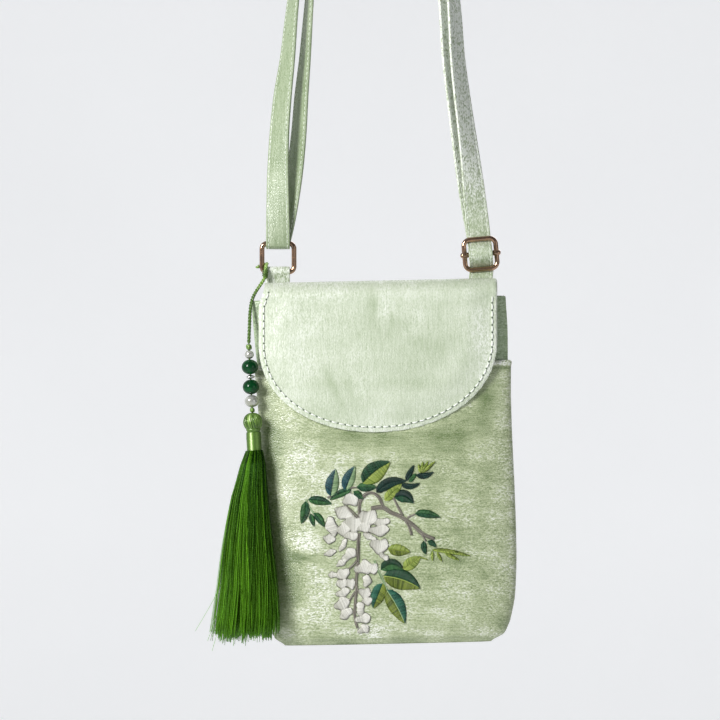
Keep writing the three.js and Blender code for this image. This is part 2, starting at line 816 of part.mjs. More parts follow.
function charmCord() {
  const section = new THREE.Shape();
  const sides = 8;
  for (let j = 0; j < sides; j++) {
    const angle = (2 * Math.PI * j) / sides;
    const [u, v] = [(cordThick / 2) * Math.cos(angle), (cordThick / 2) * Math.sin(angle)];
    if (j === 0) section.moveTo(u, v);
    else section.lineTo(u, v);
  }
  const geometry = new THREE.ExtrudeGeometry(section, {
    steps: 34,
    bevelEnabled: false,
    extrudePath: new THREE.CatmullRomCurve3(cordRoute),
  });
  return named("charm_cord", geometry, greenSilk);
}

// The beads, the thread through them and the tassel, hanging in a frame of their own.
function charmDrop() {
  const drop = new THREE.Group();
  const end = cordRoute[cordRoute.length - 1];
  drop.position.set(end.x, end.y, end.z - clothGap);
  drop.rotation.set(radians(-charmTilt.forward), radians(-charmTilt.right), 0);
  const hole = threadRadius + threadHoleClearance;
  let z = -upperKnot.height;
  for (const bead of charmBeads) {
    const material = new THREE.MeshStandardMaterial({ color: bead.colour, roughness: 0.12 });
    const mesh = turnedBead(bead.name, bead.radius, bead.height, hole, 12, material);
    z -= beadGap + bead.height / 2;
    mesh.position.z = z;
    z -= bead.height / 2;
    drop.add(mesh);
  }
  const lowerTop = z - beadGap;
  const headTop = lowerTop - lowerKnot.height - beadGap;
  drop.add(beadThread(lowerTop, headTop - headHeight * headThreaded));
  const head = turnedBead("tassel_head", headRadius, headHeight, hole, 14, greenSilk);
  head.position.z = headTop - headHeight / 2;
  drop.add(head);
  const sleeveTop = headTop - headHeight - clothGap;
  drop.add(tasselWrap(sleeveTop));
  drop.add(tasselSkirt(sleeveTop));
  return drop;
}

function beadThread(lowerTop, bottom) {
  const bulge = (top, { radius, height }) => [
    [radius * 0.6, top - height * 0.06],
    [radius, top - height * 0.35],
    [radius, top - height * 0.65],
    [threadRadius, top - height],
  ];
  const profile = [
    [0, 0],
    ...bulge(0, upperKnot),
    [threadRadius, lowerTop],
    ...bulge(lowerTop, lowerKnot),
    [threadRadius, bottom],
    [0, bottom],
  ];
  return turned("bead_thread", profile.reverse(), 8, greenSilk);
}

// A sleeve of wound thread round the neck, standing clear of the head and the skirt.
function tasselWrap(top) {
  const inner = wrapRadius - wrapWall;
  const bottom = top - wrapHeight;
  const end = wrapRadius * 0.94;
  const shoulder = wrapHeight * 0.15;
  const profile = [
    [inner, bottom],
    [end, bottom],
    [wrapRadius, bottom + shoulder],
    [wrapRadius, top - shoulder],
    [end, top],
    [inner, top],
    [inner, bottom],
  ];
  return turned("tassel_wrap", profile, 14, greenSilk);
}

// The strands as fluted locks, with their bundled top inside the sleeve.
function tasselSkirt(top) {
  const around = skirtLocks * 3;
  const stemRadius = wrapRadius - wrapWall - clothGap;
  const stemTop = top - clothGap;
  const sleeveEnd = top - wrapHeight;
  const ringAt = (radius, flutes, flat, drift, z, ragged) => {
    const points = [];
    for (let j = 0; j < around; j++) {
      const angle = (2 * Math.PI * j) / around;
      const lock = Math.floor(j / 3);
      const reach = radius * (1 - flutes * (j % 3 === 0 ? 1 : 0));
      const longer = ragged * Math.sin(lock * 2.4);
      points.push(
        new THREE.Vector3(
          drift + reach * Math.cos(angle),
          flat * reach * Math.sin(angle),
          z + longer,
        ),
      );
    }
    return points;
  };
  const rings = [
    ringAt(stemRadius, 0, 1, 0, stemTop, 0),
    ringAt(stemRadius, 0, 1, 0, sleeveEnd, 0),
  ];
  skirtRows.forEach(({ down, wide, drift }, i) => {
    const flat = 1 + (skirtFlatness - 1) * Math.min(1, down * 3);
    const z = sleeveEnd - clothGap - skirtLength * down;
    const last = i === skirtRows.length - 1;
    const ragged = last ? skirtRagged : 0;
    const flutes = Math.min(0.1, 0.03 + down * 0.15);
    rings.push(ringAt(skirtHalfWidth * wide, flutes, flat, -skirtLength * drift, z, ragged));
  });
  return loft("tassel_skirt", rings, darkSilk);
}

// Assembly

const purse = new THREE.Group();
purse.add(pouch(), frontPocket(), flap());
purse.add(ringTab(), ring(), strap());
const sliderMesh = slider();
sliderPose.decompose(sliderMesh.position, sliderMesh.quaternion, sliderMesh.scale);
purse.add(sliderMesh, charmCord(), charmDrop());

export default purse;
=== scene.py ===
# An embroidered phone purse in pale green satin, hanging by its strap, dressed over its frame.
# Sizes are in millimetres, and become metres where a mesh is made.
import math

import bpy
import numpy as np
from mathutils import Matrix, Vector
from mathutils.bvhtree import BVHTree


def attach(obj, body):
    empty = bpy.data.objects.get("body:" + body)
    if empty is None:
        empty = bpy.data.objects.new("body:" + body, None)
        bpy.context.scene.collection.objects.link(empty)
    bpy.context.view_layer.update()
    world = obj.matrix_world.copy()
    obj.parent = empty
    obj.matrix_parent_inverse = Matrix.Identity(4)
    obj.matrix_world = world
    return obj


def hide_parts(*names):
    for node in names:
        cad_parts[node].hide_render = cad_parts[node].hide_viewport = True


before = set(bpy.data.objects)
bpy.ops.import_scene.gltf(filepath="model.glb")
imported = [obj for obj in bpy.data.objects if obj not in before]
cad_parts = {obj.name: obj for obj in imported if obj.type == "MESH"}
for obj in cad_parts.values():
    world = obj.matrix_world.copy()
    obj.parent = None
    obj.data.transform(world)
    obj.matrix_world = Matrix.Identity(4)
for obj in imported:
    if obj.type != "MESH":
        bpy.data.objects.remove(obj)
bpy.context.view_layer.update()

MM = 0.001
rng = np.random.default_rng(7)

# Clearances
cloth_gap = 0.3
metal_gap = 0.3
bead_gap = 0.2

# Hanging
hang_drop = 320
peg_radius = 20

# Pouch
pouch_half_width = 64
pouch_height = 171.8
pouch_half_depth = 8
pouch_wall = 1.6
pouch_below_fold = 9
pouch_roundness = 2.6
bag_lean = 1.2

# Slip pocket
pocket_wall = 1.4
pocket_height = 139.5
pocket_slack = 1.2
pocket_side_turn = 5
hem_height = 2.6
hem_swell = 0.45

# Flap
flap_thick = 2
flap_side_inset = 4.3
flap_middle = 1
flap_length = 75
flap_straight = 30
flap_roundness = 2.1
flap_root = 22
flap_arch_height = 7.5
flap_shoulder_air = 3.4
flap_curl = 1.3
flap_left_tuck = 3
flap_tuck_reach = 13
flap_stitch_inset = 2.6
flap_stitch_pitch = 3.7
flap_edge_radius = 1.5
flap_stitch_start = 4
flap_flare = 1.6

# Strap, ring and slider
strap_width = 12
strap_thick = 1.4
strap_sewn = 14
edge_stitch_pitch = 2.5
ring_inset = 14.5
ring_wire = 1.3
ring_side_clearance = 0.8
ring_height = 14.4
ring_bend = 2.6
ring_above_fold = 4.6
tab_thick = 1.2
tab_sewn = 14
slider_inset = 11
slider_wire = 1.25
slider_bar = 1.2
slider_bar_end = 0.9
slider_side_clearance = 0.85
slider_bend = 3.2
slider_slack = 1.5
slider_above_fold = 6
slider_tilt = 5

# Charm
cord_thick = 1.8
thread_radius = 0.45
upper_knot = {"radius": 1.6, "height": 2.8}
lower_knot = {"radius": 1.35, "height": 2.2}
head_radius = 4.75
head_height = 9.4
wrap_radius = 3.85
wrap_height = 9.6
wrap_thread_radius = 0.17
head_strand_radius = 0.34
skirt_strands = 1700
skirt_length = 90
skirt_half_width = 15
skirt_flatness = 0.7
charm_tilt = {"right": 3.1, "forward": 1.8}


def table(columns, rows):
    """The rows of a table, each as a dictionary by the names of its columns."""
    names = columns.split()
    return [dict(zip(names, row)) for row in rows]


pouch_rows = table("up left right front back", [
    (1.0, 0.977, 1.02, 0.66, 0.8),
    (0.9, 0.957, 1.035, 0.74, 0.86),
    (0.8, 0.93, 1.037, 0.83, 0.9),
    (0.66, 0.896, 1.04, 0.93, 0.96),
    (0.42, 0.852, 1.067, 1.02, 1.02),
    (0.24, 0.822, 1.08, 1.07, 1.04),
    (0.12, 0.805, 1.068, 1.06, 1.0),
    (0.05, 0.79, 1.03, 1.0, 0.9),
    (0.018, 0.77, 0.98, 0.7, 0.72),
    (0.0, 0.69, 0.88, 0.32, 0.42),
])
left_outer_strand = table("up in turn away", [
    (0.08, 0.0, 0.2, 1.0),
    (0.165, 0.01, 0.37, 0.95),
    (0.254, 0.075, 0.45, 0.8),
    (0.343, 0.19, 0.6, 0.6),
    (0.432, 0.285, 0.7, 0.4),
    (0.62, 0.5, 0.84, 0.15),
    (0.82, 0.77, 0.95, 0.0),
])
left_inner_strand = table("up in turn away", [
    (0.08, 0.2, 0.4, 1.0),
    (0.165, 0.335, 0.55, 0.9),
    (0.254, 0.4, 0.62, 0.7),
    (0.343, 0.48, 0.72, 0.5),
    (0.432, 0.55, 0.8, 0.3),
    (0.62, 0.68, 0.9, 0.1),
    (0.82, 0.85, 0.97, 0.0),
])
right_outer_strand = table("up in turn away", [
    (0.08, 0.08, 0.22, 0.9),
    (0.16, 0.165, 0.42, 0.6),
    (0.25, 0.28, 0.51, 0.2),
    (0.34, 0.375, 0.59, 0.0),
    (0.43, 0.435, 0.65, 0.0),
    (0.62, 0.6, 0.8, 0.0),
    (0.82, 0.8, 0.94, 0.0),
])
right_inner_strand = table("up in turn away", [
    (0.08, 0.14, 0.25, 1.1),
    (0.16, 0.275, 0.48, 1.0),
    (0.25, 0.39, 0.57, 0.6),
    (0.34, 0.5, 0.66, 0.3),
    (0.43, 0.565, 0.72, 0.1),
    (0.62, 0.7, 0.85, 0.0),
    (0.82, 0.86, 0.96, 0.0),
])
skirt_rows = table("down wide drift", [
    (0.0, 0.29, 0.0),
    (0.08, 0.43, 0.012),
    (0.26, 0.62, 0.04),
    (0.52, 0.8, 0.063),
    (0.78, 0.93, 0.077),
    (0.93, 0.99, 0.092),
    (1.0, 1.0, 0.102),
])


# Numbers and tables

def spline(a, b, c, d, t):
    bend = 2 * a - 5 * b + 4 * c - d
    swing = 3 * (b - c) + d - a
    return b + 0.5 * t * (c - a + t * (bend + t * swing))


def row_at(rows, key, value):
    """A row of the table at the given value of key, each column smoothly between its rows."""
    rising = rows[-1][key] > rows[0][key]
    passed = [i for i, r in enumerate(rows) if (r[key] >= value if rising else r[key] <= value)]
    i = min(max(passed[0] if passed else len(rows) - 1, 1), len(rows) - 1)
    b, c = rows[i - 1], rows[i]
    a, d = rows[max(i - 2, 0)], rows[min(i + 1, len(rows) - 1)]
    t = min(max((value - b[key]) / (c[key] - b[key]), 0), 1)
    return {k: value if k == key else spline(a[k], b[k], c[k], d[k], t) for k in b}


def smooth_step(value, low, high):
    t = np.clip((value - low) / (high - low), 0, 1)
    return t * t * (3 - 2 * t)


def leaned(x, z):
    return z + x * math.tan(math.radians(bag_lean))


def unit(vectors):
    lengths = np.linalg.norm(vectors, axis=-1, keepdims=True)
    return vectors / np.maximum(lengths, 1e-9)


# Places that follow from the sizes
fold_z = -hang_drop
pouch_top_z = fold_z - pouch_below_fold
pouch_bottom_z = pouch_top_z - pouch_height
tab_stack = tab_thick + cloth_gap / 2
flap_back_y = -(tab_stack + cloth_gap + flap_thick / 2)
back_share = max(
    row_at(pouch_rows, "up", 1)["back"],
    row_at(pouch_rows, "up", 1 - flap_root / pouch_height)["back"],
)
pouch_y = flap_back_y - flap_thick / 2 - cloth_gap - pouch_half_depth * back_share
ring_x = -(pouch_half_width - ring_inset)
ring_bottom_z = fold_z + ring_above_fold
ring_top_z = ring_bottom_z + ring_height
ring_half_width = strap_width / 2 + ring_side_clearance + ring_wire
slider_x = pouch_half_width - slider_inset
strap_behind_bar = slider_wire + metal_gap + strap_thick / 2
strap_end_on_bar = slider_bar + metal_gap + strap_thick / 2
strap_over_bar = strap_end_on_bar + strap_thick + cloth_gap
slider_pitch = strap_behind_bar + strap_over_bar + slider_slack
slider_half_width = strap_width / 2 + slider_side_clearance + slider_wire
slider_z = fold_z + slider_above_fold + slider_pitch


# Meshes

def piece(name, points, faces, material, slot, tone=None, nap=None):
    """A mesh piece from points in millimetres, riding on the frame.

    tone picks a thread's shade, and on the tassel's head and wrap also a painted highlight; the satin's
    other attribute is painted light and shade on its floats.
    """
    mesh = bpy.data.meshes.new(name)
    faces = [f.tolist() if hasattr(f, "tolist") else list(f) for f in faces]
    mesh.from_pydata((np.asarray(points, float) * MM).tolist(), [], faces)
    for kind, values in (("tone", tone), ("nap", nap)):
        if values is not None:
            data = mesh.attributes.new(kind, "FLOAT", "POINT").data
            data.foreach_set("value", np.asarray(values, np.float32))
    mesh.polygons.foreach_set("use_smooth", [True] * len(mesh.polygons))
    mesh.materials.append(material)
    mesh.update()
    obj = bpy.data.objects.new(name, mesh)
    bpy.context.scene.collection.objects.link(obj)
    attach(obj, "root")
    return obj


def grid_faces(rows, columns, closed=False, start=0):
    """Quads of a grid of points that is stored row by row."""
    i, j = np.meshgrid(np.arange(rows - 1), np.arange(columns - (not closed)), indexing="ij")
    a = i * columns + j
    b = i * columns + (j + 1) % columns
    return (start + np.stack([a, b, b + columns, a + columns], -1)).reshape(-1, 4)


def torus_faces(rows, sides):
    """Quads of rings joined in order, and the last ring to the first."""
    faces = [list(f) for f in grid_faces(rows, sides, closed=True)]
    last = (rows - 1) * sides
    for j in range(sides):
        k = (j + 1) % sides
        faces.append([last + j, last + k, k, j])
    return faces


def facing_out(points, faces):
    """The faces, turned round if they enclose a negative volume."""
    p = np.asarray(points, float)
    volume = 0.0
    for f in faces:
        for k in range(1, len(f) - 1):
            volume += np.dot(p[f[0]], np.cross(p[f[k]], p[f[k + 1]]))
    return faces if volume > 0 else [list(f)[::-1] for f in faces]


def two_faced(outer, inner):
    """Points and quads of a sheet with an outer and an inner grid, closed round its rim."""
    rows, columns = outer.shape[:2]
    other = rows * columns
    faces = [list(f) for f in grid_faces(rows, columns)]
    faces += [list(f)[::-1] for f in grid_faces(rows, columns, start=other)]
    rim = list(range(columns))
    rim += [i * columns + columns - 1 for i in range(1, rows)]
    rim += [(rows - 1) * columns + j for j in range(columns - 2, -1, -1)]
    rim += [i * columns for i in range(rows - 2, 0, -1)]
    for k, a in enumerate(rim):
        b = rim[(k + 1) % len(rim)]
        faces.append([b, a, a + other, b + other])
    points = np.concatenate([outer.reshape(-1, 3), inner.reshape(-1, 3)])
    return points, facing_out(points, faces)


def lofted(rings):
    """Points and faces of closed rings joined in order, with a fan on both ends."""
    rings = np.asarray(rings, float)
    count, around = rings.shape[:2]
    points = rings.reshape(-1, 3)
    faces = [list(f) for f in grid_faces(count, around, closed=True)]
    ends = np.stack([rings[0].mean(0), rings[-1].mean(0)])
    first = len(points)
    for end, start, flip in ((0, 0, True), (1, (count - 1) * around, False)):
        for j in range(around):
            a, b = start + j, start + (j + 1) % around
            faces.append([first + end, b, a] if flip else [first + end, a, b])
    points = np.concatenate([points, ends])
    return points, facing_out(points, faces)


def tubes(paths, radius, up, sides=4, flat=1.0):
    """Closed tubes along many paths at once. paths is lines by points by 3."""
    paths = np.asarray(paths, float)
    lines, steps = paths.shape[:2]
    along = unit(np.gradient(paths, axis=1))
    up = np.broadcast_to(np.asarray(up, float), paths.shape)
    side = unit(np.cross(along, up))
    top = np.cross(side, along)
    radius = np.broadcast_to(np.asarray(radius, float), (lines, steps))[:, :, None]
    angles = 2 * np.pi * (np.arange(sides) + 0.5) / sides
    points = np.stack(
        [paths + radius * (np.cos(a) * side + flat * np.sin(a) * top) for a in angles], 2
    ).reshape(-1, 3)
    one = grid_faces(steps, sides, closed=True)
    starts = np.arange(lines)[:, None, None] * steps * sides
    faces = (one[None] + starts).reshape(-1, 4)[:, ::-1].tolist()
    ring = np.arange(sides)
    first = starts[:, :, 0] + ring[None]
    last = first + (steps - 1) * sides
    faces += first.tolist()
    faces += last[:, ::-1].tolist()
    return points, faces


def closed_tube(path, radius, up, sides):
    """A closed loop of round wire along a path of points."""
    path = np.asarray(path, float)
    along = unit(np.roll(path, -1, 0) - np.roll(path, 1, 0))
    side = unit(np.cross(along, np.asarray(up, float)))
    top = np.cross(side, along)
    angles = 2 * np.pi * np.arange(sides) / sides
    rings = [path + radius * (np.cos(a) * side + np.sin(a) * top) for a in angles]
    points = np.stack(rings, 1).reshape(-1, 3)
    return points, facing_out(points, torus_faces(len(path), sides))


def joined(parts):
    """One set of points and faces from several."""
    points, faces, start = [], [], 0
    for p, f in parts:
        points.append(np.asarray(p, float))
        faces += [[v + start for v in face] for face in f]
        start += len(p)
    return np.concatenate(points), faces


def turned(profile, sides):
    """A turned shape from a closed profile of radius and height."""
    profile = np.asarray(profile, float)
    angles = 2 * np.pi * np.arange(sides) / sides
    r, z = profile[:, :1], profile[:, 1:]
    points = np.stack(
        [r * np.cos(angles), r * np.sin(angles), z + 0 * angles], -1
    ).reshape(-1, 3)
    return points, facing_out(points, torus_faces(len(profile), sides))


def resampled(path, spacing, extra=None):
    """Points at an even spacing along a path, on smooth curves, with extra columns carried."""
    path = np.asarray(path, float)
    table = path if extra is None else np.concatenate([path, extra], 1)
    fine = []
    for i in range(len(table) - 1):
        a = table[max(i - 1, 0)]
        b, c = table[i], table[i + 1]
        d = table[min(i + 2, len(table) - 1)]
        fine += [spline(a, b, c, d, t) for t in np.linspace(0, 1, 12, endpoint=False)]
    fine = np.array(fine + [table[-1]])
    gone = np.concatenate([[0], np.cumsum(np.linalg.norm(np.diff(fine[:, :3], axis=0), axis=1))])
    count = max(int(gone[-1] / spacing), 2)
    at = np.linspace(0, gone[-1], count + 1)
    return np.stack([np.interp(at, gone, fine[:, k]) for k in range(table.shape[1])], 1)


# Materials

def shader(name):
    material = bpy.data.materials.new(name)
    material.use_nodes = True
    tree = material.node_tree
    tree.nodes.clear()
    out = tree.nodes.new("ShaderNodeOutputMaterial")
    bsdf = tree.nodes.new("ShaderNodeBsdfPrincipled")
    tree.links.new(bsdf.outputs[0], out.inputs[0])
    return material, tree, bsdf


def link(tree, source, target):
    tree.links.new(source, target)


def noise(tree, scale, detail=3.0, roughness=0.55, seed=0.0):
    """Noise over the object's own coordinates; scale is cells per millimetre in X, Y and Z."""
    place = tree.nodes.new("ShaderNodeTexCoord")
    mapping = tree.nodes.new("ShaderNodeMapping")
    mapping.inputs["Scale"].default_value = [s / MM for s in scale]
    mapping.inputs["Location"].default_value = (seed, seed * 1.7, seed * 0.6)
    texture = tree.nodes.new("ShaderNodeTexNoise")
    texture.inputs["Scale"].default_value = 1.0
    texture.inputs["Detail"].default_value = detail
    texture.inputs["Roughness"].default_value = roughness
    link(tree, place.outputs["Object"], mapping.inputs["Vector"])
    link(tree, mapping.outputs[0], texture.inputs["Vector"])
    return texture.outputs["Fac"]


def maths(tree, operation, a, b):
    node = tree.nodes.new("ShaderNodeMath")
    node.operation = operation
    for socket, value in zip(node.inputs, (a, b)):
        if hasattr(value, "is_linked"):
            link(tree, value, socket)
        else:
            socket.default_value = value
    return node.outputs[0]


def ramp(tree, factor, stops):
    node = tree.nodes.new("ShaderNodeValToRGB")
    while len(node.color_ramp.elements) < len(stops):
        node.color_ramp.elements.new(0.5)
    for element, (at, colour) in zip(node.color_ramp.elements, stops):
        element.position = at
        element.color = (*colour, 1)
    link(tree, factor, node.inputs[0])
    return node.outputs[0]


def bump(tree, height, distance, strength, bsdf):
    node = tree.nodes.new("ShaderNodeBump")
    node.inputs["Distance"].default_value = distance * MM
    node.inputs["Strength"].default_value = strength
    link(tree, height, node.inputs["Height"])
    link(tree, node.outputs[0], bsdf.inputs["Normal"])


def ranged(tree, value, low, high):
    node = tree.nodes.new("ShaderNodeMapRange")
    node.inputs["To Min"].default_value = low
    node.inputs["To Max"].default_value = high
    link(tree, value, node.inputs["Value"])
    return node.outputs[0]


def floats(tree, scale):
    """Thread floats of the weave: how far from a float's middle, and a value of its own."""
    place = tree.nodes.new("ShaderNodeTexCoord")
    mapping = tree.nodes.new("ShaderNodeMapping")
    mapping.inputs["Scale"].default_value = [s / MM for s in scale]
    cells = tree.nodes.new("ShaderNodeTexVoronoi")
    cells.inputs["Scale"].default_value = 1.0
    link(tree, place.outputs["Object"], mapping.inputs["Vector"])
    link(tree, mapping.outputs[0], cells.inputs["Vector"])
    own = tree.nodes.new("ShaderNodeSeparateColor")
    link(tree, cells.outputs["Color"], own.inputs[0])
    return cells.outputs["Distance"], own.outputs[0]


def blend(tree, parts):
    """The weighted sum of several values."""
    total = 0.0
    for value, weight in parts:
        total = maths(tree, "ADD", maths(tree, "MULTIPLY", value, weight), total)
    return total


# Roughness of the dullest and the glossiest floats
satin_dull = 0.58
satin_gloss = 0.24


def satin(name, deep, middle, glint, slub_scale, float_scale, grain=1.0):
    """Slubbed satin: raised thread floats that each catch the light, among soft slubs. The floats' colour
    also carries painted light: painted highlights towards the glint colour and painted shade towards the
    deep colour.
    """
    material, tree, bsdf = shader(name)
    slub = noise(tree, slub_scale, detail=4.0, roughness=0.6)
    away, own = floats(tree, float_scale)
    drift = noise(tree, (0.03, 0.03, 0.05), detail=3.0, seed=7.7)
    # Painted light and shade from the piece's attribute, laid on the floats and slubs: above zero a painted
    # highlight, below zero painted shade.
    nap = tree.nodes.new("ShaderNodeAttribute")
    nap.attribute_name = "nap"
    lit = blend(tree, [(own, 0.68), (slub, 0.14)])
    painted_light_on_floats = maths(tree, "MULTIPLY", nap.outputs["Fac"], lit)
    weave = [(slub, 0.3), (own, 0.18 * grain), (away, -0.14 * grain)]
    tone = blend(tree, [*weave, (drift, 0.2), (painted_light_on_floats, 0.9)])
    colour = ramp(tree, tone, [(0.08, deep), (0.3, middle), (0.52, glint)])
    link(tree, colour, bsdf.inputs["Base Color"])
    link(tree, ranged(tree, own, satin_dull, satin_gloss), bsdf.inputs["Roughness"])
    bsdf.inputs["Specular IOR Level"].default_value = 1.0
    bsdf.inputs["Sheen Weight"].default_value = 0.12
    bsdf.inputs["Sheen Roughness"].default_value = 0.4
    bsdf.inputs["Sheen Tint"].default_value = (0.95, 1.0, 0.9, 1)
    height = blend(tree, [(slub, 0.5), (own, 0.3), (away, -0.45)])
    bump(tree, height, 0.36, 0.75 * grain, bsdf)
    return material


def silk(name, dark, light, rough=0.36, glint=(1.0, 1.0, 1.0), gloss=0.5, painted_highlight_colour=None):
    """Thread silk, its tone running between two colours by the piece's own tone, and on to a third,
    brighter colour that is a painted highlight.
    """
    material, tree, bsdf = shader(name)
    tone = tree.nodes.new("ShaderNodeAttribute")
    tone.attribute_name = "tone"
    fine = noise(tree, (1.5, 1.5, 1.5), detail=2.0)
    uneven = maths(tree, "MULTIPLY", maths(tree, "SUBTRACT", fine, 0.5), 0.35)
    mixed = maths(tree, "ADD", tone.outputs["Fac"], uneven)
    stops = [(0.0, dark), (0.8, light), (1.0, painted_highlight_colour or light)]
    link(tree, ramp(tree, mixed, stops), bsdf.inputs["Base Color"])
    link(tree, ranged(tree, fine, rough - 0.08, rough + 0.1), bsdf.inputs["Roughness"])
    bsdf.inputs["Specular IOR Level"].default_value = gloss
    bsdf.inputs["Specular Tint"].default_value = (*glint, 1)
    bump(tree, noise(tree, (5.0, 5.0, 5.0), detail=1.0, seed=2.0), 0.06, 0.4, bsdf)
    return material


def polished_metal(name, colour, rough):
    material, tree, bsdf = shader(name)
    wear = noise(tree, (0.35, 0.35, 0.35), detail=5.0)
    dark = tuple(c * 0.55 for c in colour)
    link(tree, ramp(tree, wear, [(0.3, dark), (0.62, colour)]), bsdf.inputs["Base Color"])
    link(tree, ranged(tree, wear, rough - 0.04, rough + 0.1), bsdf.inputs["Roughness"])
    bsdf.inputs["Metallic"].default_value = 1.0
    bsdf.inputs["Coat Weight"].default_value = 1.0
    bsdf.inputs["Coat Roughness"].default_value = 0.03
    bsdf.inputs["Coat IOR"].default_value = 1.7
    bump(tree, noise(tree, (0.9, 0.9, 0.9), detail=3.0, seed=4.0), 0.05, 0.12, bsdf)
    return material


def pearl():
    material, tree, bsdf = shader("pearl")
    cloud = noise(tree, (0.25, 0.25, 0.25), detail=3.0)
    stops = [(0.3, (0.38, 0.39, 0.31)), (0.5, (0.5, 0.51, 0.46)), (0.7, (0.72, 0.72, 0.7))]
    link(tree, ramp(tree, cloud, stops), bsdf.inputs["Base Color"])
    link(tree, ranged(tree, cloud, 0.12, 0.24), bsdf.inputs["Roughness"])
    bsdf.inputs["Metallic"].default_value = 0.55
    bsdf.inputs["Coat Weight"].default_value = 0.6
    bsdf.inputs["Coat Roughness"].default_value = 0.06
    return material


def green_stone():
    material, tree, bsdf = shader("green_stone")
    cloud = noise(tree, (0.22, 0.22, 0.22), detail=4.0, roughness=0.65)
    stops = [(0.3, (0.0, 0.022, 0.004)), (0.52, (0.0, 0.04, 0.009)), (0.75, (0.002, 0.09, 0.018))]
    link(tree, ramp(tree, cloud, stops), bsdf.inputs["Base Color"])
    link(tree, ranged(tree, cloud, 0.04, 0.1), bsdf.inputs["Roughness"])
    bsdf.inputs["Specular IOR Level"].default_value = 0.3
    return material


across_floats = (1.1, 0.4, 2.2)
upright_floats = (2.2, 0.4, 1.1)
pocket_satin = satin(
    "pocket_satin",
    (0.13, 0.19, 0.06), (0.46, 0.52, 0.31), (0.83, 0.85, 0.77),
    (0.12, 0.3, 1.4), across_floats,
)
# The pouch's satin is the same cloth as the pocket's, painted darker as painted shade for the recessed wall
# behind the flap and the sides.
pouch_satin_painted_shade = satin(
    "pouch_satin_painted_shade",
    (0.11, 0.18, 0.07), (0.36, 0.47, 0.27), (0.7, 0.76, 0.62),
    (0.12, 0.3, 1.4), across_floats,
)
# The flap's satin, its floats upright, is painted paler than the pocket's, as painted light where the flap
# faces up towards the light.
flap_satin = satin(
    "flap_satin",
    (0.32, 0.4, 0.24), (0.6, 0.66, 0.52), (0.86, 0.89, 0.82),
    (1.5, 0.3, 0.12), upright_floats, 0.6,
)
strap_satin = satin(
    "strap_satin",
    (0.16, 0.23, 0.1), (0.42, 0.49, 0.33), (0.82, 0.86, 0.78),
    (1.2, 1.2, 0.08), upright_floats, 0.7,
)
rose_gold = polished_metal("rose_gold_wire", (0.44, 0.25, 0.14), 0.06)
silver = polished_metal("silver_spacer", (0.82, 0.81, 0.79), 0.16)
pearl_finish = pearl()
bead_finish = green_stone()
white_thread = silk("white_thread", (0.72, 0.78, 0.68), (0.9, 0.93, 0.87))
needle_shade = silk("needle_shade", (0.1, 0.14, 0.09), (0.16, 0.2, 0.14), rough=0.8)
# The cord's silk has a third, paler colour for the painted highlight on the tassel's head and wrap.
cord_silk = silk(
    "cord_silk", (0.01, 0.05, 0.003), (0.22, 0.38, 0.07), rough=0.22, glint=(0.85, 1.0, 0.65), gloss=1.0,
    painted_highlight_colour=(0.62, 0.74, 0.4),
)
tassel_silk = silk(
    "tassel_silk", (0.001, 0.017, 0.001), (0.15, 0.4, 0.02), rough=0.26, glint=(0.4, 1.0, 0.2), gloss=0.5
)


# Camera, floor and light, all round the purse

def place_camera():
    focus = Vector((-8.0, -20.0, -360.0)) * MM
    frame_width = 360 * MM
    distance = 1.6
    camera = bpy.data.cameras.new("camera")
    camera.sensor_width = 36
    camera.lens = 36 * distance / frame_width
    camera.clip_end = 50
    holder = bpy.data.objects.new("camera", camera)
    holder.location = focus + Vector((0, -distance, 0))
    holder.rotation_euler = (math.pi / 2, 0, 0)
    bpy.context.scene.collection.objects.link(holder)
    bpy.context.scene.camera = holder


def place_stage():
    floor_z, wall_y, bend, reach = -2.0, 3.4, 1.4, 7.0
    profile = [(-reach, floor_z), (wall_y - bend, floor_z)]
    for step in range(1, 13):
        angle = math.pi / 2 * step / 12
        y = wall_y - bend + bend * math.sin(angle)
        profile.append((y, floor_z + bend * (1 - math.cos(angle))))
    profile.append((wall_y, floor_z + 6))
    points = [(x, y, z) for y, z in profile for x in (-reach, reach)]
    faces = [(2 * i, 2 * i + 1, 2 * i + 3, 2 * i + 2) for i in range(len(profile) - 1)]
    mesh = bpy.data.meshes.new("pale_sweep")
    mesh.from_pydata(points, [], faces)
    mesh.polygons.foreach_set("use_smooth", [True] * len(faces))
    material, tree, bsdf = shader("pale_sweep")
    stops = [(0.2, (0.7, 0.7, 0.71)), (0.8, (0.75, 0.75, 0.76))]
    tint = ramp(tree, noise(tree, (0.002, 0.002, 0.002)), stops)
    link(tree, tint, bsdf.inputs["Base Color"])
    bsdf.inputs["Roughness"].default_value = 0.9
    bsdf.inputs["Emission Color"].default_value = (0.94, 0.955, 0.97, 1)
    bsdf.inputs["Emission Strength"].default_value = 0.44
    mesh.materials.append(material)
    sweep = bpy.data.objects.new("pale_sweep", mesh)
    bpy.context.scene.collection.objects.link(sweep)


def area_light(name, place, size, power, colour):
    aim = Vector((0.0, -0.02, -0.4))
    light = bpy.data.lights.new(name, "AREA")
    light.shape = "RECTANGLE"
    light.size, light.size_y = size
    light.energy = power
    light.color = colour
    holder = bpy.data.objects.new(name, light)
    holder.location = place
    holder.rotation_euler = (aim - Vector(place)).to_track_quat("-Z", "Y").to_euler()
    bpy.context.scene.collection.objects.link(holder)


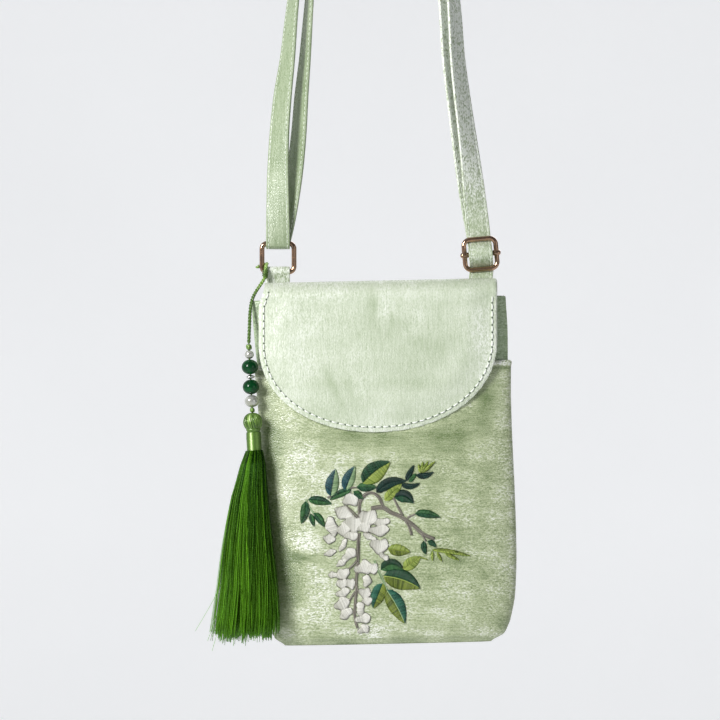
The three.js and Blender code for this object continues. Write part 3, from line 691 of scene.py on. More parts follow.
def place_lights():
    area_light("window", (-1.05, -1.2, 0.2), (0.5, 0.75), 31, (1.0, 0.995, 0.98))
    area_light("fill", (1.5, -1.6, -0.2), (1.2, 1.2), 5, (0.94, 0.97, 1.0))
    area_light("behind", (0.7, 1.6, 0.7), (1.2, 1.2), 10, (0.97, 0.98, 1.0))
    world = bpy.data.worlds.new("studio")
    world.use_nodes = True
    tree = world.node_tree
    way = tree.nodes.new("ShaderNodeTexCoord")
    parts = tree.nodes.new("ShaderNodeSeparateXYZ")
    link(tree, way.outputs["Generated"], parts.inputs[0])
    across = ranged(tree, parts.outputs[0], 0.0, 1.0)
    across.node.inputs["From Min"].default_value = -1.0
    stops = [(0.1, (0.5, 0.51, 0.52)), (0.5, (0.2, 0.205, 0.21)), (0.9, (0.07, 0.072, 0.075))]
    link(tree, ramp(tree, across, stops), tree.nodes["Background"].inputs["Color"])
    bpy.context.scene.world = world
    bpy.context.scene.view_settings.view_transform = "Standard"


# Charm cord

ring_side_x = ring_x - ring_half_width
hitch_bend = ring_wire + metal_gap + cord_thick / 2

cord_route = np.array([
    [-hitch_bend, 0.4, 2.4],
    [-1.8, 1.8, 2.8],
    [0, hitch_bend, 3.3],
    [1.8, 1.8, 3.8],
    [hitch_bend, 0, 4.1],
    [2.2, -1.9, 3.4],
    [2.0, -3.5, 2.2],
    [1.8, -4.2, 0.2],
    [1.4, -4.8, -3.1],
    [-0.4, -6.2, -6.3],
    [-2.9, -9.2, -10.3],
    [-4.4, -12.0, -13.6],
    [-5.1, -14.0, -16.6],
    [-5.5, -15.8, -20.2],
    [-5.7, -17.2, -24.6],
    [-5.85, -18.6, -30.5],
    [-6.05, -19.3, -36.4],
]) + [ring_side_x, 0, ring_bottom_z]


def charm_cord():
    """Two strands laid round each other along the route."""
    line = resampled(cord_route, 0.45)
    along = unit(np.gradient(line, axis=0))
    side = unit(np.cross(along, [0.35, 1.0, 0.2]))
    top = np.cross(side, along)
    gone = np.arange(len(line)) * 0.45
    strand_radius = cord_thick * 0.29
    lay_length = 3.4
    strands = []
    for k in range(2):
        turn = 2 * np.pi * gone / lay_length + np.pi * k
        offset = strand_radius * 0.86 * (np.cos(turn)[:, None] * side + np.sin(turn)[:, None] * top)
        strands.append(line + offset)
    points, faces = tubes(strands, strand_radius, [0.35, 1.0, 0.2], sides=8)
    tone = np.repeat(np.tile(0.8 - 0.6 * smooth_step(gone, 18, 32), 2), 8)
    cord = piece("charm_cord_laid", points, faces, cord_silk, "green_silk", tone=tone)
    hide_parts("charm_cord")
    knotted = line[(line[:, 2] < ring_bottom_z + 1.4) & (line[:, 2] > ring_bottom_z - 3.2)]
    knot_line = resampled(knotted, 0.16)
    turn = np.linspace(0, 2 * np.pi * 3.5, len(knot_line))[:, None]
    along = unit(np.gradient(knot_line, axis=0))
    side = unit(np.cross(along, [1.0, 0.2, 0.3]))
    coil = knot_line + 1.15 * (np.cos(turn) * side + np.sin(turn) * np.cross(side, along))
    points, faces = tubes(coil[None], 0.5, [0.2, 1.0, 0.3], sides=8)
    piece("cord_hitch", points, faces, cord_silk, "green_silk", tone=np.full(len(points), 0.2))


place_camera()
place_stage()
place_lights()
charm_cord()


# Pouch and pocket

def section(up, angles, grow, lift=0.0):
    """Points in X and Y of the rounded section at a height. Angle 270 is the front's middle."""
    row = row_at(pouch_rows, "up", up)
    c, s = np.cos(np.radians(angles)), np.sin(np.radians(angles))
    power = 2 / pouch_roundness
    half = pouch_half_width * (row["left"] + row["right"]) / 2 + grow
    middle = pouch_half_width * (row["right"] - row["left"]) / 2
    front = pouch_half_depth * row["front"] + grow + lift
    back = pouch_half_depth * row["back"] + grow
    deep = np.where(s < 0, front, back)
    x = middle + half * np.sign(c) * np.abs(c) ** power
    y = pouch_y + deep * np.sign(s) * np.abs(s) ** power
    return x, y


def even_angles(low, high, count):
    """Angles that space the points of a middle section evenly."""
    fine = np.linspace(low, high, 4000)
    x, y = section(0.5, fine, 0)
    gone = np.concatenate([[0], np.cumsum(np.hypot(np.diff(x), np.diff(y)))])
    return np.interp(np.linspace(0, gone[-1], count), gone, fine)


# Soft lumps and hollows of the pocket's front. x and z are on the purse, wide and high are
# the lump's reach, lift stands off the panel.
pocket_lumps = table("x z wide high lift", [
    (-38, -455, 9, 42, 1.76),
    (-25, -452, 10, 14, 0.8),
    (-31, -436, 14, 5, -0.72),
    (-34, -466, 13, 4, -0.64),
    (8, -424, 36, 16, 1.12),
    (-2, -488, 16, 6, 1.44),
    (-30, -489, 11, 5, -0.96),
    (40, -470, 20, 24, -0.8),
    (50, -420, 12, 22, 0.8),
    (54, -450, 8, 10, 0.56),
    (26, -447, 22, 4, -0.4),
    (34, -482, 24, 5, 0.64),
    (58, -486, 6, 7, 0.8),
])

# Painted light and shade on the pocket's satin: soft patches painted brighter or darker, on the purse as
# the lumps.
pocket_painted_light = table("x z wide high turn nap", [
    (-36.5, -450, 8, 5.5, 0, 0.45),
    (-29, -474, 6, 19, 8, 0.35),
    (-1, -495.5, 7, 4, 0, 0.65),
    (-16, -496, 6, 2.5, 0, 0.3),
    (-37.5, -407.5, 8, 6, 20, 0.3),
    (-20, -425, 20, 14, 0, 0.17),
    (-53, -430, 5.5, 55, 0, -0.56),
    (-47, -462, 6.5, 14, 0, -0.43),
    (-42, -480, 6.5, 10, -12, -0.37),
    (-37, -458.5, 9, 2.5, 0, -0.5),
    (36, -399, 20, 9, 20, -0.34),
    (-3, -399, 24, 5, 0, -0.31),
    (54, -380, 6, 14, 0, -0.25),
    (-38, -482, 8, 9, 0, 0.22),
    (68, -440, 1.6, 60, 0, 0.15),
])

# Where the front turns under: x from the purse's middle, z on the purse.
turn_line = table("x z", [
    (-62, -503),
    (-50, -500.5),
    (-22, -493.4),
    (-9, -493),
    (24.5, -496.8),
    (62, -497.8),
    (72, -498),
])


def lump_field(x, z, lumps):
    lift = np.zeros_like(x)
    for lump in lumps:
        reach = ((x - lump["x"]) / lump["wide"]) ** 2 + ((z - lump["z"]) / lump["high"]) ** 2
        lift += lump["lift"] * np.exp(-reach)
    return lift


# Soft patches of painted light and shade, summed.
def painted_light_field(x, z, rows):
    nap = np.zeros_like(x)
    for row in rows:
        c, s = math.cos(math.radians(row["turn"])), math.sin(math.radians(row["turn"]))
        u = (x - row["x"]) * c + (z - row["z"]) * s
        v = (z - row["z"]) * c - (x - row["x"]) * s
        nap += row["nap"] * np.exp(-((u / row["wide"]) ** 2) - (v / row["high"]) ** 2)
    return nap


def rumple(x, z, scale, seed):
    """A gentle irregular waviness, the same each run."""
    phase = np.random.default_rng(seed).uniform(0, 2 * np.pi, (6, 3))
    wave = np.zeros_like(x)
    for k, (a, b, c) in enumerate(phase):
        step = scale / (1 + 0.45 * k)
        wave += np.sin(x / step * math.cos(a) + z / step * math.sin(a) + b + 0.6 * np.sin(x / scale + c))
        wave += 0.5 * np.sin(z / step * 1.7 + c)
    return wave / 9


def turn_height(x):
    return np.interp(x, [p["x"] for p in turn_line], [p["z"] for p in turn_line])


def pocket_swell(x, z):
    """How far the pocket's front stands off its plain section."""
    above = z - turn_height(x)
    over = 0.95 * np.exp(-np.maximum(above, 0) / 6)
    under = 0.95 - 2.1 * (1 - np.exp(above / 2.6))
    lip = np.where(above > 0, over, under)
    return lump_field(x, z, pocket_lumps) + lip + 0.28 * rumple(x, z, 9.0, 4)


def pocket_grid(offset_at, rows, angles):
    top_share = pocket_height / pouch_height
    shares = np.concatenate([np.linspace(0, 0.06, 16)[:-1], np.linspace(0.06, top_share, rows)])
    grid = np.zeros((len(shares), len(angles), 3))
    for i, up in enumerate(shares):
        offset = offset_at(up)
        across = np.sin(np.radians(angles - 180))
        hang = min(1, up / 0.25) * across ** 2
        x, y = section(up, angles, offset, pocket_slack * hang)
        under = max(0.0, 1 - up / 0.05)
        z = leaned(x, pouch_bottom_z + pouch_height * up - offset * under)
        front = 1 - smooth_step(across, -1.0, -0.25)
        y = y - pocket_swell(x, z) * front * min(1.0, (top_share - up) / 0.05 + 0.15)
        grid[i] = np.stack([x, y, z], -1)
    return grid


def front_pocket():
    top_share = pocket_height / pouch_height
    angles = even_angles(180 + pocket_side_turn, 360 - pocket_side_turn, 190)

    def outer(up):
        below = (top_share - up) * pouch_height
        hem = hem_swell * math.exp(-((below - hem_height / 2) / (hem_height / 2)) ** 4)
        roll = -0.55 * max(0.0, 1 - below / 0.7) ** 2
        return cloth_gap + pocket_wall + hem + roll

    points, faces = two_faced(
        pocket_grid(outer, 170, angles), pocket_grid(lambda up: cloth_gap, 170, angles)
    )
    x, z = points[:, 0], points[:, 2]
    hem_z = leaned(x, pouch_bottom_z + pocket_height - hem_height)
    # Painted light and shade on the pocket: the listed patches and a wavy mottle, painted shade where the
    # front turns under, a painted highlight on the hem and a painted shadow line just below it.
    nap = painted_light_field(x, z, pocket_painted_light) + 0.34 * rumple(x, z, 6.0, 21)
    nap -= 0.16 * smooth_step(turn_height(x) - z, -0.3, 1.6)
    nap += 0.4 * smooth_step(z, hem_z - 0.2, hem_z + 0.3)
    nap -= 0.5 * np.exp(-((z - hem_z + 1.2) / 0.9) ** 2)
    pocket = piece("front_pocket_cloth", points, faces, pocket_satin, "body_satin", nap=nap)
    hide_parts("front_pocket")
    return pocket


def pouch_body():
    angles = even_angles(0, 360, 241)[:-1]
    shares = np.concatenate([np.linspace(0, 0.1, 18)[:-1], np.linspace(0.1, 1, 110)])
    floor_z = pouch_bottom_z + pouch_wall

    def ring(up, grow, low, drop=0.0):
        x, y = section(up, angles, grow)
        z = leaned(x, low + (pouch_top_z - low) * up - drop)
        back = np.clip(np.sin(np.radians(angles)), 0, 1)
        y = y + 0.35 * rumple(x, z, 13.0, 9) * back * math.sin(math.pi * up)
        return np.stack([x, y, z], -1)

    outside = [ring(up, 0, pouch_bottom_z) for up in shares[:-1]]
    roll = [ring(1, 0.0, pouch_bottom_z, 0.7), ring(1, -0.25, pouch_bottom_z, 0.15)]
    roll.append(ring(1, -pouch_wall / 2, pouch_bottom_z, -0.05))
    roll.append(ring(1, 0.25 - pouch_wall, pouch_bottom_z, 0.15))
    inside = [ring(up, -pouch_wall, floor_z) for up in shares[-2::-4]]
    points, faces = lofted(outside + roll + inside)
    body = piece("pouch_cloth", points, faces, pouch_satin_painted_shade, "body_satin")
    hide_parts("pouch_body")


# Flap

flap_half_width = pouch_half_width - flap_side_inset
flap_tip_up = (pouch_height - (flap_length - pouch_below_fold)) / pouch_height


def middle_y(up, grow, lift=0.0):
    return float(section(up, np.array([270.0]), grow, lift)[1][0])


flap_tip_y = middle_y(flap_tip_up, cloth_gap + pocket_wall, pocket_slack) - cloth_gap - flap_thick / 2
flap_shoulder_y = middle_y(1, 0) - flap_shoulder_air - flap_thick / 2


def flap_line(side, arch_steps, front_steps, root_steps):
    """Depth and height of one column of the flap's middle surface, from its root to its end."""
    round_share = max(0.0, 1 - side ** flap_roundness) ** (1 / flap_roundness)
    end_below = flap_straight + (flap_length - flap_straight) * round_share
    shoulder = flap_arch_height
    mid = (flap_back_y + flap_shoulder_y) / 2
    span = (flap_back_y - flap_shoulder_y) / 2
    line = [(flap_back_y, -flap_root + (flap_root - shoulder) * i / root_steps) for i in range(root_steps)]
    for i in range(arch_steps + 1):
        angle = math.pi * i / arch_steps
        line.append((mid + span * math.cos(angle), shoulder * (math.sin(angle) - 1)))
    for i in range(1, front_steps + 1):
        share_down = 1 - (1 - i / front_steps) ** 1.25
        below = shoulder + (end_below - shoulder) * share_down
        share = (below - shoulder) / (flap_length - shoulder)
        ease = math.sin(share * math.pi / 2)
        line.append((flap_shoulder_y + (flap_tip_y - flap_shoulder_y) * ease, -below))
    return np.array(line)


def flap_tuck(side, below):
    """How far a place on the flap's left is drawn in, by its share of the way to the edge."""
    return flap_left_tuck * np.square(side) * (1 - smooth_step(below, 0, flap_tuck_reach))


def flap_outline(inset):
    """The flap's free edge on its front: across and down from the fold, inset from the edge."""
    count = 700
    a = flap_half_width
    b = flap_length - flap_straight
    angles = np.linspace(0, math.pi, count)
    c, s = np.cos(angles), np.sin(angles)
    power = 2 / flap_roundness
    x = -a * np.sign(c) * np.abs(c) ** power
    below = flap_straight + b * np.abs(s) ** power
    left = np.stack([np.full(60, -a), np.linspace(2, flap_straight, 60)], 1)[:-1]
    right = left[::-1] * [-1, 1]
    edge = np.concatenate([left, np.stack([x, below], 1), right])
    edge[:, 0] += np.where(edge[:, 0] < 0, flap_tuck(1, edge[:, 1]), 0)
    along = unit(np.gradient(edge, axis=0))
    return edge + inset * np.stack([along[:, 1], -along[:, 0]], 1)


# Dents of the flap: x from the flap's middle, z below its fold.
flap_dents = table("x z wide high lift", [
    (-1, 12, 2.4, 14, -0.4),
    (4, 14, 4, 12, 0.3),
    (-30, 26, 20, 16, 0.5),
    (26, 30, 16, 22, 0.45),
    (0, 54, 30, 9, 0.35),
    (44, 18, 7, 18, -0.3),
])


# Painted light and shade on the flap's satin, soft patches painted brighter or darker: x from its middle, z
# below its fold.
flap_painted_light = table("x z wide high turn nap", [
    (-40, 25, 22, 32, 0, 0.11),
    (-10, 4, 42, 7, 0, 0.1),
    (-3, 12, 2.4, 11, 0, -0.3),
    (3.5, 13, 3, 12, 0, 0.14),
    (-22, 52, 2.2, 13, -24, -0.27),
    (-14, 54, 2.2, 11, -18, -0.21),
    (26, 42, 20, 18, 0, -0.12),
    (53, 30, 6, 15, -12, 0.32),
])


def flap_surface():
    """Middle points and outward directions of the flap, and each point's way from its edge."""
    columns, arch_steps, front_steps, root_steps = 150, 20, 90, 8
    sides = np.sin(np.radians(np.linspace(-90, 90, columns)))
    lines = np.stack([flap_line(abs(s), arch_steps, front_steps, root_steps) for s in sides])
    x = (sides * flap_half_width)[:, None] + 0 * lines[:, :, 0]
    steps = np.arange(lines.shape[1])
    front = smooth_step(steps, root_steps + arch_steps / 2, root_steps + arch_steps + 4)[None]
    y = lines[:, :, 0] + flap_curl * (sides[:, None] ** 2) * front
    below = -lines[:, :, 1]
    z = leaned(x, fold_z + lines[:, :, 1] - flap_thick / 2)
    along = unit(np.gradient(np.stack([y, z], -1), axis=1))
    out = np.stack([0 * y, -along[:, :, 1], along[:, :, 0]], -1)
    edge = flap_outline(0)
    x = x + np.where(x < 0, flap_tuck(sides[:, None], below), 0)
    flat = np.stack([x, below], -1).reshape(-1, 1, 2)
    away = np.sqrt(((flat - edge[None, ::4]) ** 2).sum(-1)).min(1).reshape(x.shape)
    back = lines[:, :, 0] > (flap_back_y + flap_shoulder_y) / 2
    side_away = flap_half_width - np.abs(x)
    away = np.where(back, np.minimum(side_away, flap_root - below), np.minimum(away, side_away))
    return np.stack([x + flap_middle, y, z], -1), out, away, below, front


def flap():
    centre, out, away, below, front = flap_surface()
    edge_share = np.clip(1 - away / flap_edge_radius, 0, 1)
    half = flap_thick / 2 * np.sqrt(np.clip(1 - edge_share ** 2, 0.02, 1))
    groove = 0.26 * np.exp(-((away - flap_stitch_inset) / 0.8) ** 2)
    x = centre[:, :, 0] - flap_middle
    soft = lump_field(x, below, flap_dents) + 0.18 * rumple(x, below, 8.0, 12)
    soft = soft * front * smooth_step(away, 1.5, 9)
    pucker = 0.12 * np.sin(x * 1.1) * np.sin(below * 0.9) * np.exp(-((away - 4) / 3) ** 2) * front
    flare = flap_flare * (1 - smooth_step(away, 0, 16)) * front * (0.45 + 0.55 * smooth_step(x, -20, 30))
    outer = centre + out * (half + flare - groove * front + soft + pucker)[..., None]
    inner = centre - out * (half - flare)[..., None]
    points, faces = two_faced(outer, inner)
    # Painted light and shade on the flap: the listed patches, a wavy mottle and a painted highlight along
    # its rim.
    nap = painted_light_field(x, below, flap_painted_light) + 0.2 * rumple(x, below, 7.0, 31)
    nap += 0.22 * np.exp(-((away / 1.3) ** 2)) * front
    nap = np.tile(nap.reshape(-1), 2)
    cloth = piece("flap_cloth", points, faces, flap_satin, "flap_satin", nap=nap)
    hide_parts("flap")
    return cloth


# Rows of stitches

def surface_tree(obj):
    return BVHTree.FromObject(obj, bpy.context.evaluated_depsgraph_get())


def on_front(tree, x, z):
    """The surface's front at a place, in millimetres, found by looking along +Y."""
    hit = tree.ray_cast(Vector((x, -200, z)) * MM, Vector((0, 1, 0)))
    return None if hit[0] is None else (np.array(hit[0]) / MM, np.array(hit[1]))


def stitch_row(line, normals, pitch, length, radius, sink=0.12, lift=0.3):
    """Short raised threads along a line, each dipping into the cloth at its ends."""
    gone = np.concatenate([[0], np.cumsum(np.linalg.norm(np.diff(line, axis=0), axis=1))])
    count = int(gone[-1] / pitch)
    share = np.linspace(0, 1, 7)
    rise = -sink + (lift + sink) * np.sin(np.pi * share) ** 0.6
    paths, ups, holes = [], [], []
    for k in range(count):
        start = k * pitch + (pitch - length) / 2
        at = start + length * share
        place = np.stack([np.interp(at, gone, line[:, i]) for i in range(3)], 1)
        normal = unit(np.stack([np.interp(at, gone, normals[:, i]) for i in range(3)], 1))
        paths.append(place + normal * rise[:, None])
        ups.append(normal)
        hole_at = k * pitch
        holes.append([np.interp(hole_at, gone, line[:, i]) for i in range(3)])
    taper = radius * (0.75 + 0.25 * np.sin(np.pi * share))
    return tubes(paths, taper, np.array(ups), sides=6), np.array(holes), np.array(ups)[:, 0]


def needle_hole_painted_shade(places, normals, radius):
    """Small dark dimples where the needle went through, dark as a painted shade in the holes."""
    share = np.array([-1.0, -0.6, 0.0, 0.6, 1.0])
    side = unit(np.cross(normals, [0.1, 0.2, 1.0]))
    paths = places[:, None] + side[:, None] * (share * radius)[None, :, None]
    widths = radius * np.sqrt(np.clip(1 - share ** 2, 0.04, 1))
    return tubes(paths, widths, normals[:, None], sides=6, flat=0.35)


def flap_stitches(flap_cloth):
    tree = surface_tree(flap_cloth)
    line, normals = [], []
    for x, below in flap_outline(flap_stitch_inset)[::3]:
        if below < flap_stitch_start:
            continue
        found = on_front(tree, x + flap_middle, leaned(x, fold_z - below - flap_thick / 2))
        if found is not None:
            line.append(found[0])
            normals.append(found[1])
    row, holes, ups = stitch_row(
        np.array(line), np.array(normals), flap_stitch_pitch, 2.7, 0.36, lift=0.42
    )
    piece("flap_topstitch", *row, white_thread, "flap_satin", tone=np.full(len(row[0]), 0.8))
    points, faces = needle_hole_painted_shade(holes + ups * 0.14, ups, 0.5)
    piece("flap_needle_hole_painted_shade", points, faces, needle_shade, "flap_satin", tone=np.full(len(points), 0.5))


# Strap

def in_slider(y, z):
    pose = Matrix.Translation((slider_x, 0, slider_z)) @ Matrix.Rotation(math.radians(-slider_tilt), 4, "Y")
    place = pose @ Vector((0, y, z))
    across = pose.to_3x3() @ Vector((1, 0, 0))
    return [*place, *across]


def belt_angle(a, b):
    heading = math.atan2(b["z"] - a["z"], b["y"] - a["y"])
    gap = math.hypot(b["z"] - a["z"], b["y"] - a["y"])
    return heading - math.pi / 2 + math.asin((a["side"] * a["radius"] - b["side"] * b["radius"]) / gap)


def bar_arc(bar, low, high, steps):
    angles = [low + (high - low) * i / steps for i in range(steps + 1)]
    reach = bar["side"] * bar["radius"]
    return [in_slider(bar["y"] + reach * math.cos(a), bar["z"] + reach * math.sin(a)) for a in angles]


def strand(rows, side, base, crown_radius):
    top_x = side * crown_radius
    height = -peg_radius - base[2]
    every = [{"up": 0, "in": 0, "turn": 0, "away": 1}, *rows, {"up": 1, "in": 1, "turn": 1, "away": 0}]
    path = []
    for i in range(1, 16):
        row = row_at(every, "up", i / 15)
        angle = row["turn"] * math.pi / 2
        path.append([
            base[0] + (top_x - base[0]) * row["in"],
            base[1] * row["away"],
            base[2] + height * i / 15,
            side * math.cos(angle),
            math.sin(angle),
            0,
        ])
    return path


def crown(radius):
    angles = [math.pi * i / 8 for i in range(1, 8)]
    return [[radius * math.cos(a), 0, -peg_radius + radius * math.sin(a), 0, 1, 0] for a in angles]


def strap_stations():
    inner = peg_radius + strap_thick / 2
    outer = inner + strap_thick + cloth_gap
    on_back = flap_back_y + flap_thick / 2 + cloth_gap + strap_thick / 2
    sewn = [[slider_x, on_back, fold_z - below, 1, 0, 0] for below in (strap_sewn, strap_sewn / 2, 0)]
    bars = [
        {"y": 0, "z": -slider_pitch, "radius": strap_behind_bar, "side": 1},
        {"y": 0, "z": 0, "radius": strap_over_bar, "side": -1},
        {"y": 0, "z": slider_pitch, "radius": strap_behind_bar, "side": 1},
    ]
    cross_low, cross_high = belt_angle(bars[0], bars[1]), belt_angle(bars[1], bars[2])
    through = bar_arc(bars[0], math.radians(-15), cross_low, 5)
    through += bar_arc(bars[1], cross_low, cross_high, 7)
    through += bar_arc(bars[2], cross_high, 0, 5)
    end = [in_slider(strap_behind_bar + strap_thick + cloth_gap, slider_pitch)]
    on_bar = {"y": 0, "z": 0, "radius": strap_end_on_bar, "side": 1}
    end += bar_arc(on_bar, math.radians(8), math.radians(-205), 9)
    bend = ring_wire + metal_gap + strap_thick / 2
    round_ring = []
    for angle in range(0, 181, 30):
        a = math.radians(angle)
        round_ring.append([ring_x, -bend * math.cos(a), ring_top_z - bend * math.sin(a), -1, 0, 0])
    return [
        *sewn,
        *through,
        *strand(right_outer_strand, 1, through[-1], outer),
        *crown(outer),
        *strand(left_outer_strand, -1, [ring_x, -bend, ring_top_z], outer)[::-1],
        *round_ring,
        *strand(left_inner_strand, -1, [ring_x, bend, ring_top_z], inner),
        *crown(inner)[::-1],
        *strand(right_inner_strand, 1, end[0], inner)[::-1],
        *end,
    ]


def ribbon_outline(width, thick):
    """Half-crowned section of a folded and edge-stitched ribbon, as across and out."""
    w, t = width / 2, thick / 2
    right = np.array([0.35, 0.7, 0.79, 0.86, 0.95, 0.985, 1])
    right_out = np.array([1, 0.94, 0.72, 0.92, 0.98, 0.75, 0.35])
    across = np.concatenate([-right[::-1], [0], right])
    out = np.concatenate([right_out[::-1], [1], right_out])
    upper = np.stack([across * w, out * t], 1)
    return np.concatenate([upper, upper[::-1] * [1, -1]])


def ribbon(name, stations, thick, spacing, painted_light_at):
    """A ribbon along stations, with light and shade painted onto its satin, and its frames for the
    stitches.
    """
    table = np.asarray(stations, float)
    fine = resampled(table[:, :3], spacing, table[:, 3:])
    place = fine[:, :3]
    along = unit(np.gradient(place, axis=0))
    across = fine[:, 3:] - (fine[:, 3:] * along).sum(1, keepdims=True) * along
    across = unit(across)
    face = np.cross(across, along)
    outline = ribbon_outline(strap_width, thick)
    rings = place[:, None] + outline[None, :, :1] * across[:, None] + outline[None, :, 1:] * face[:, None]
    points, faces = lofted(rings)
    cloth = piece(name, points, faces, strap_satin, "strap_satin", nap=painted_light_at(points))
    return cloth, place, across, face


def ribbon_stitches(name, place, across, face, thick):
    parts = []
    for side in (-1, 1):
        for out in (1, -1):
            line = place + across * side * strap_width * 0.395 + face * out * thick * 0.37
            row, _, _ = stitch_row(
                line, face * out, edge_stitch_pitch, edge_stitch_pitch * 0.72, 0.17, sink=0.06, lift=0.16
            )
            parts.append(row)
    points, faces = joined(parts)
    piece(name, points, faces, white_thread, "strap_satin", tone=np.full(len(points), 0.45))


def strap_painted_light(points):
    """Painted light on the strap: the right strand painted brighter, more so higher up, and the left one
    painted a little darker.
    """
    upper = 0.35 + 0.6 * smooth_step(points[:, 2], slider_z + 8, slider_z + 70)
    return -0.22 + upper * smooth_step(points[:, 0], 5, 15)


def tab_painted_light(points):
    """A painted highlight over the ring's foot, painted weaker below it, where the tab folds in."""
    return 0.5 - 0.2 * smooth_step(ring_bottom_z - points[:, 2], -0.5, 1.5)


def strap_and_tab():
    strap, place, across, face = ribbon("strap_cloth", strap_stations(), strap_thick, 1.2, strap_painted_light)
    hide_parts("shoulder_strap")
    ribbon_stitches("strap_stitches", place, across, face, strap_thick)
    bend = ring_wire + metal_gap + tab_thick / 2
    leg = tab_stack - tab_thick / 2
    side = [(leg, fold_z - tab_sewn), (leg, fold_z - tab_sewn / 2), (leg, fold_z - ring_wire / 2)]
    side += [(leg + (bend - leg) * 0.45, ring_bottom_z - bend)]
    arc = []
    for angle in range(-20, 201, 20):
        a = math.radians(angle)
        arc.append((-bend * math.cos(a), ring_bottom_z + bend * math.sin(a)))
    path = [(-y, z) for y, z in side] + arc + side[::-1]
    stations = [[ring_x, y, z, 1, 0, 0] for y, z in path]
    tab, place, across, face = ribbon("ring_tab_cloth", stations, tab_thick, 0.6, tab_painted_light)
    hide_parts("ring_tab")
    ribbon_stitches("ring_tab_stitches", place, across, face, tab_thick)


# Ring and slider

def rounded_rectangle(half_width, half_height, bend, arc_steps, side_steps):
    path = []
    corners = [(1, 1, 0), (-1, 1, 90), (-1, -1, 180), (1, -1, 270)]
    for k, (sx, sz, start) in enumerate(corners):
        for i in range(arc_steps + 1):
            a = math.radians(start + 90 * i / arc_steps)
            path.append([
                sx * (half_width - bend) + bend * math.cos(a),
                0,
                sz * (half_height - bend) + bend * math.sin(a),
            ])
        nx, nz, nstart = corners[(k + 1) % 4]
        a = math.radians(nstart)
        after = np.array([
            nx * (half_width - bend) + bend * math.cos(a), 0, nz * (half_height - bend) + bend * math.sin(a)
        ])
        before = np.array(path[-1])
        path += [(before + (after - before) * j / side_steps).tolist() for j in range(1, side_steps)]
    return np.array(path)


def ring_and_slider():
    path = rounded_rectangle(ring_half_width, ring_height / 2, ring_bend, 10, 8)
    points, faces = closed_tube(path, ring_wire, (0, 1, 0), 24)
    points = points + [ring_x, 0, (ring_top_z + ring_bottom_z) / 2]
    ring = piece("ring_wire", points, faces, rose_gold, "rose_gold_wire")
    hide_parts("ring")
    frame_path = rounded_rectangle(slider_half_width, slider_pitch, slider_bend, 10, 8)
    parts = [closed_tube(frame_path, slider_wire, (0, 1, 0), 24)]
    reach = slider_half_width + slider_wire + slider_bar_end
    knob = slider_half_width
    rings = []
    stops = [(-reach, 0.55), (-reach + 0.35, 0.95), (-reach + 1.0, 1.2), (-knob, 1.36), (-knob + 1.3, 1.3)]
    stops += [(-knob + 1.9, 1.0), (-knob + 2.4, 1.0)]
    stops += [(-x, r) for x, r in stops[::-1]]
    for x, share in stops:
        angles = 2 * np.pi * np.arange(24) / 24
        radius = slider_bar * share
        rings.append(np.stack([0 * angles + x, -radius * np.cos(angles), radius * np.sin(angles)], 1))
    parts.append(lofted(rings))
    points, faces = joined(parts)
    turn = Matrix.Rotation(math.radians(-slider_tilt), 3, "Y")
    points = points @ np.array(turn).T + [slider_x, 0, slider_z]
    slider = piece("slider_wire", points, faces, rose_gold, "rose_gold_wire")
    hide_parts("slider")


# Charm

drop_turn = np.array(
    Matrix.Rotation(math.radians(-charm_tilt["forward"]), 3, "X")
    @ Matrix.Rotation(math.radians(-charm_tilt["right"]), 3, "Y")
)
drop_top = cord_route[-1] - [0, 0, cloth_gap]


def hung(points):
    """Points of the charm's own upright frame, placed where it hangs."""
    return np.asarray(points, float) @ drop_turn.T + drop_top


charm_beads = table("name radius height", [
    ("bead_small_pearl", 2.3, 4.4),
    ("bead_green_upper", 4.2, 7.6),
    ("bead_spacer", 2.15, 2.0),
    ("bead_green_lower", 4.2, 7.6),
    ("bead_large_pearl", 3.6, 6.3),
])


def round_bead(radius, height, hole):
    flat = math.asin(min(hole / radius, 0.9))
    angles = np.linspace(-math.pi / 2 + flat, math.pi / 2 - flat, 26)
    profile = [[radius * math.cos(a), height / 2 * math.sin(a)] for a in angles]
    rim = profile[-1][1]
    profile = [[hole + 0.02, -rim + 0.05], *profile, [hole + 0.02, rim - 0.05], [hole, 0]]
    return turned(profile, 48)


def knot_strands(radius, height, z):
    """A small overhand knot: a trefoil of cord, drawn tight."""
    t = np.linspace(0, 2 * np.pi, 60, endpoint=False)
    x = radius * 0.36 * (np.sin(t) + 1.6 * np.sin(2 * t)) / 1.6
    y = radius * 0.36 * (np.cos(t) - 1.6 * np.cos(2 * t)) / 1.6
    up = -height * 0.28 * np.sin(3 * t) + z
    return closed_tube(np.stack([x, y, up], 1), radius * 0.42, (0.1, 0.2, 1), 10)


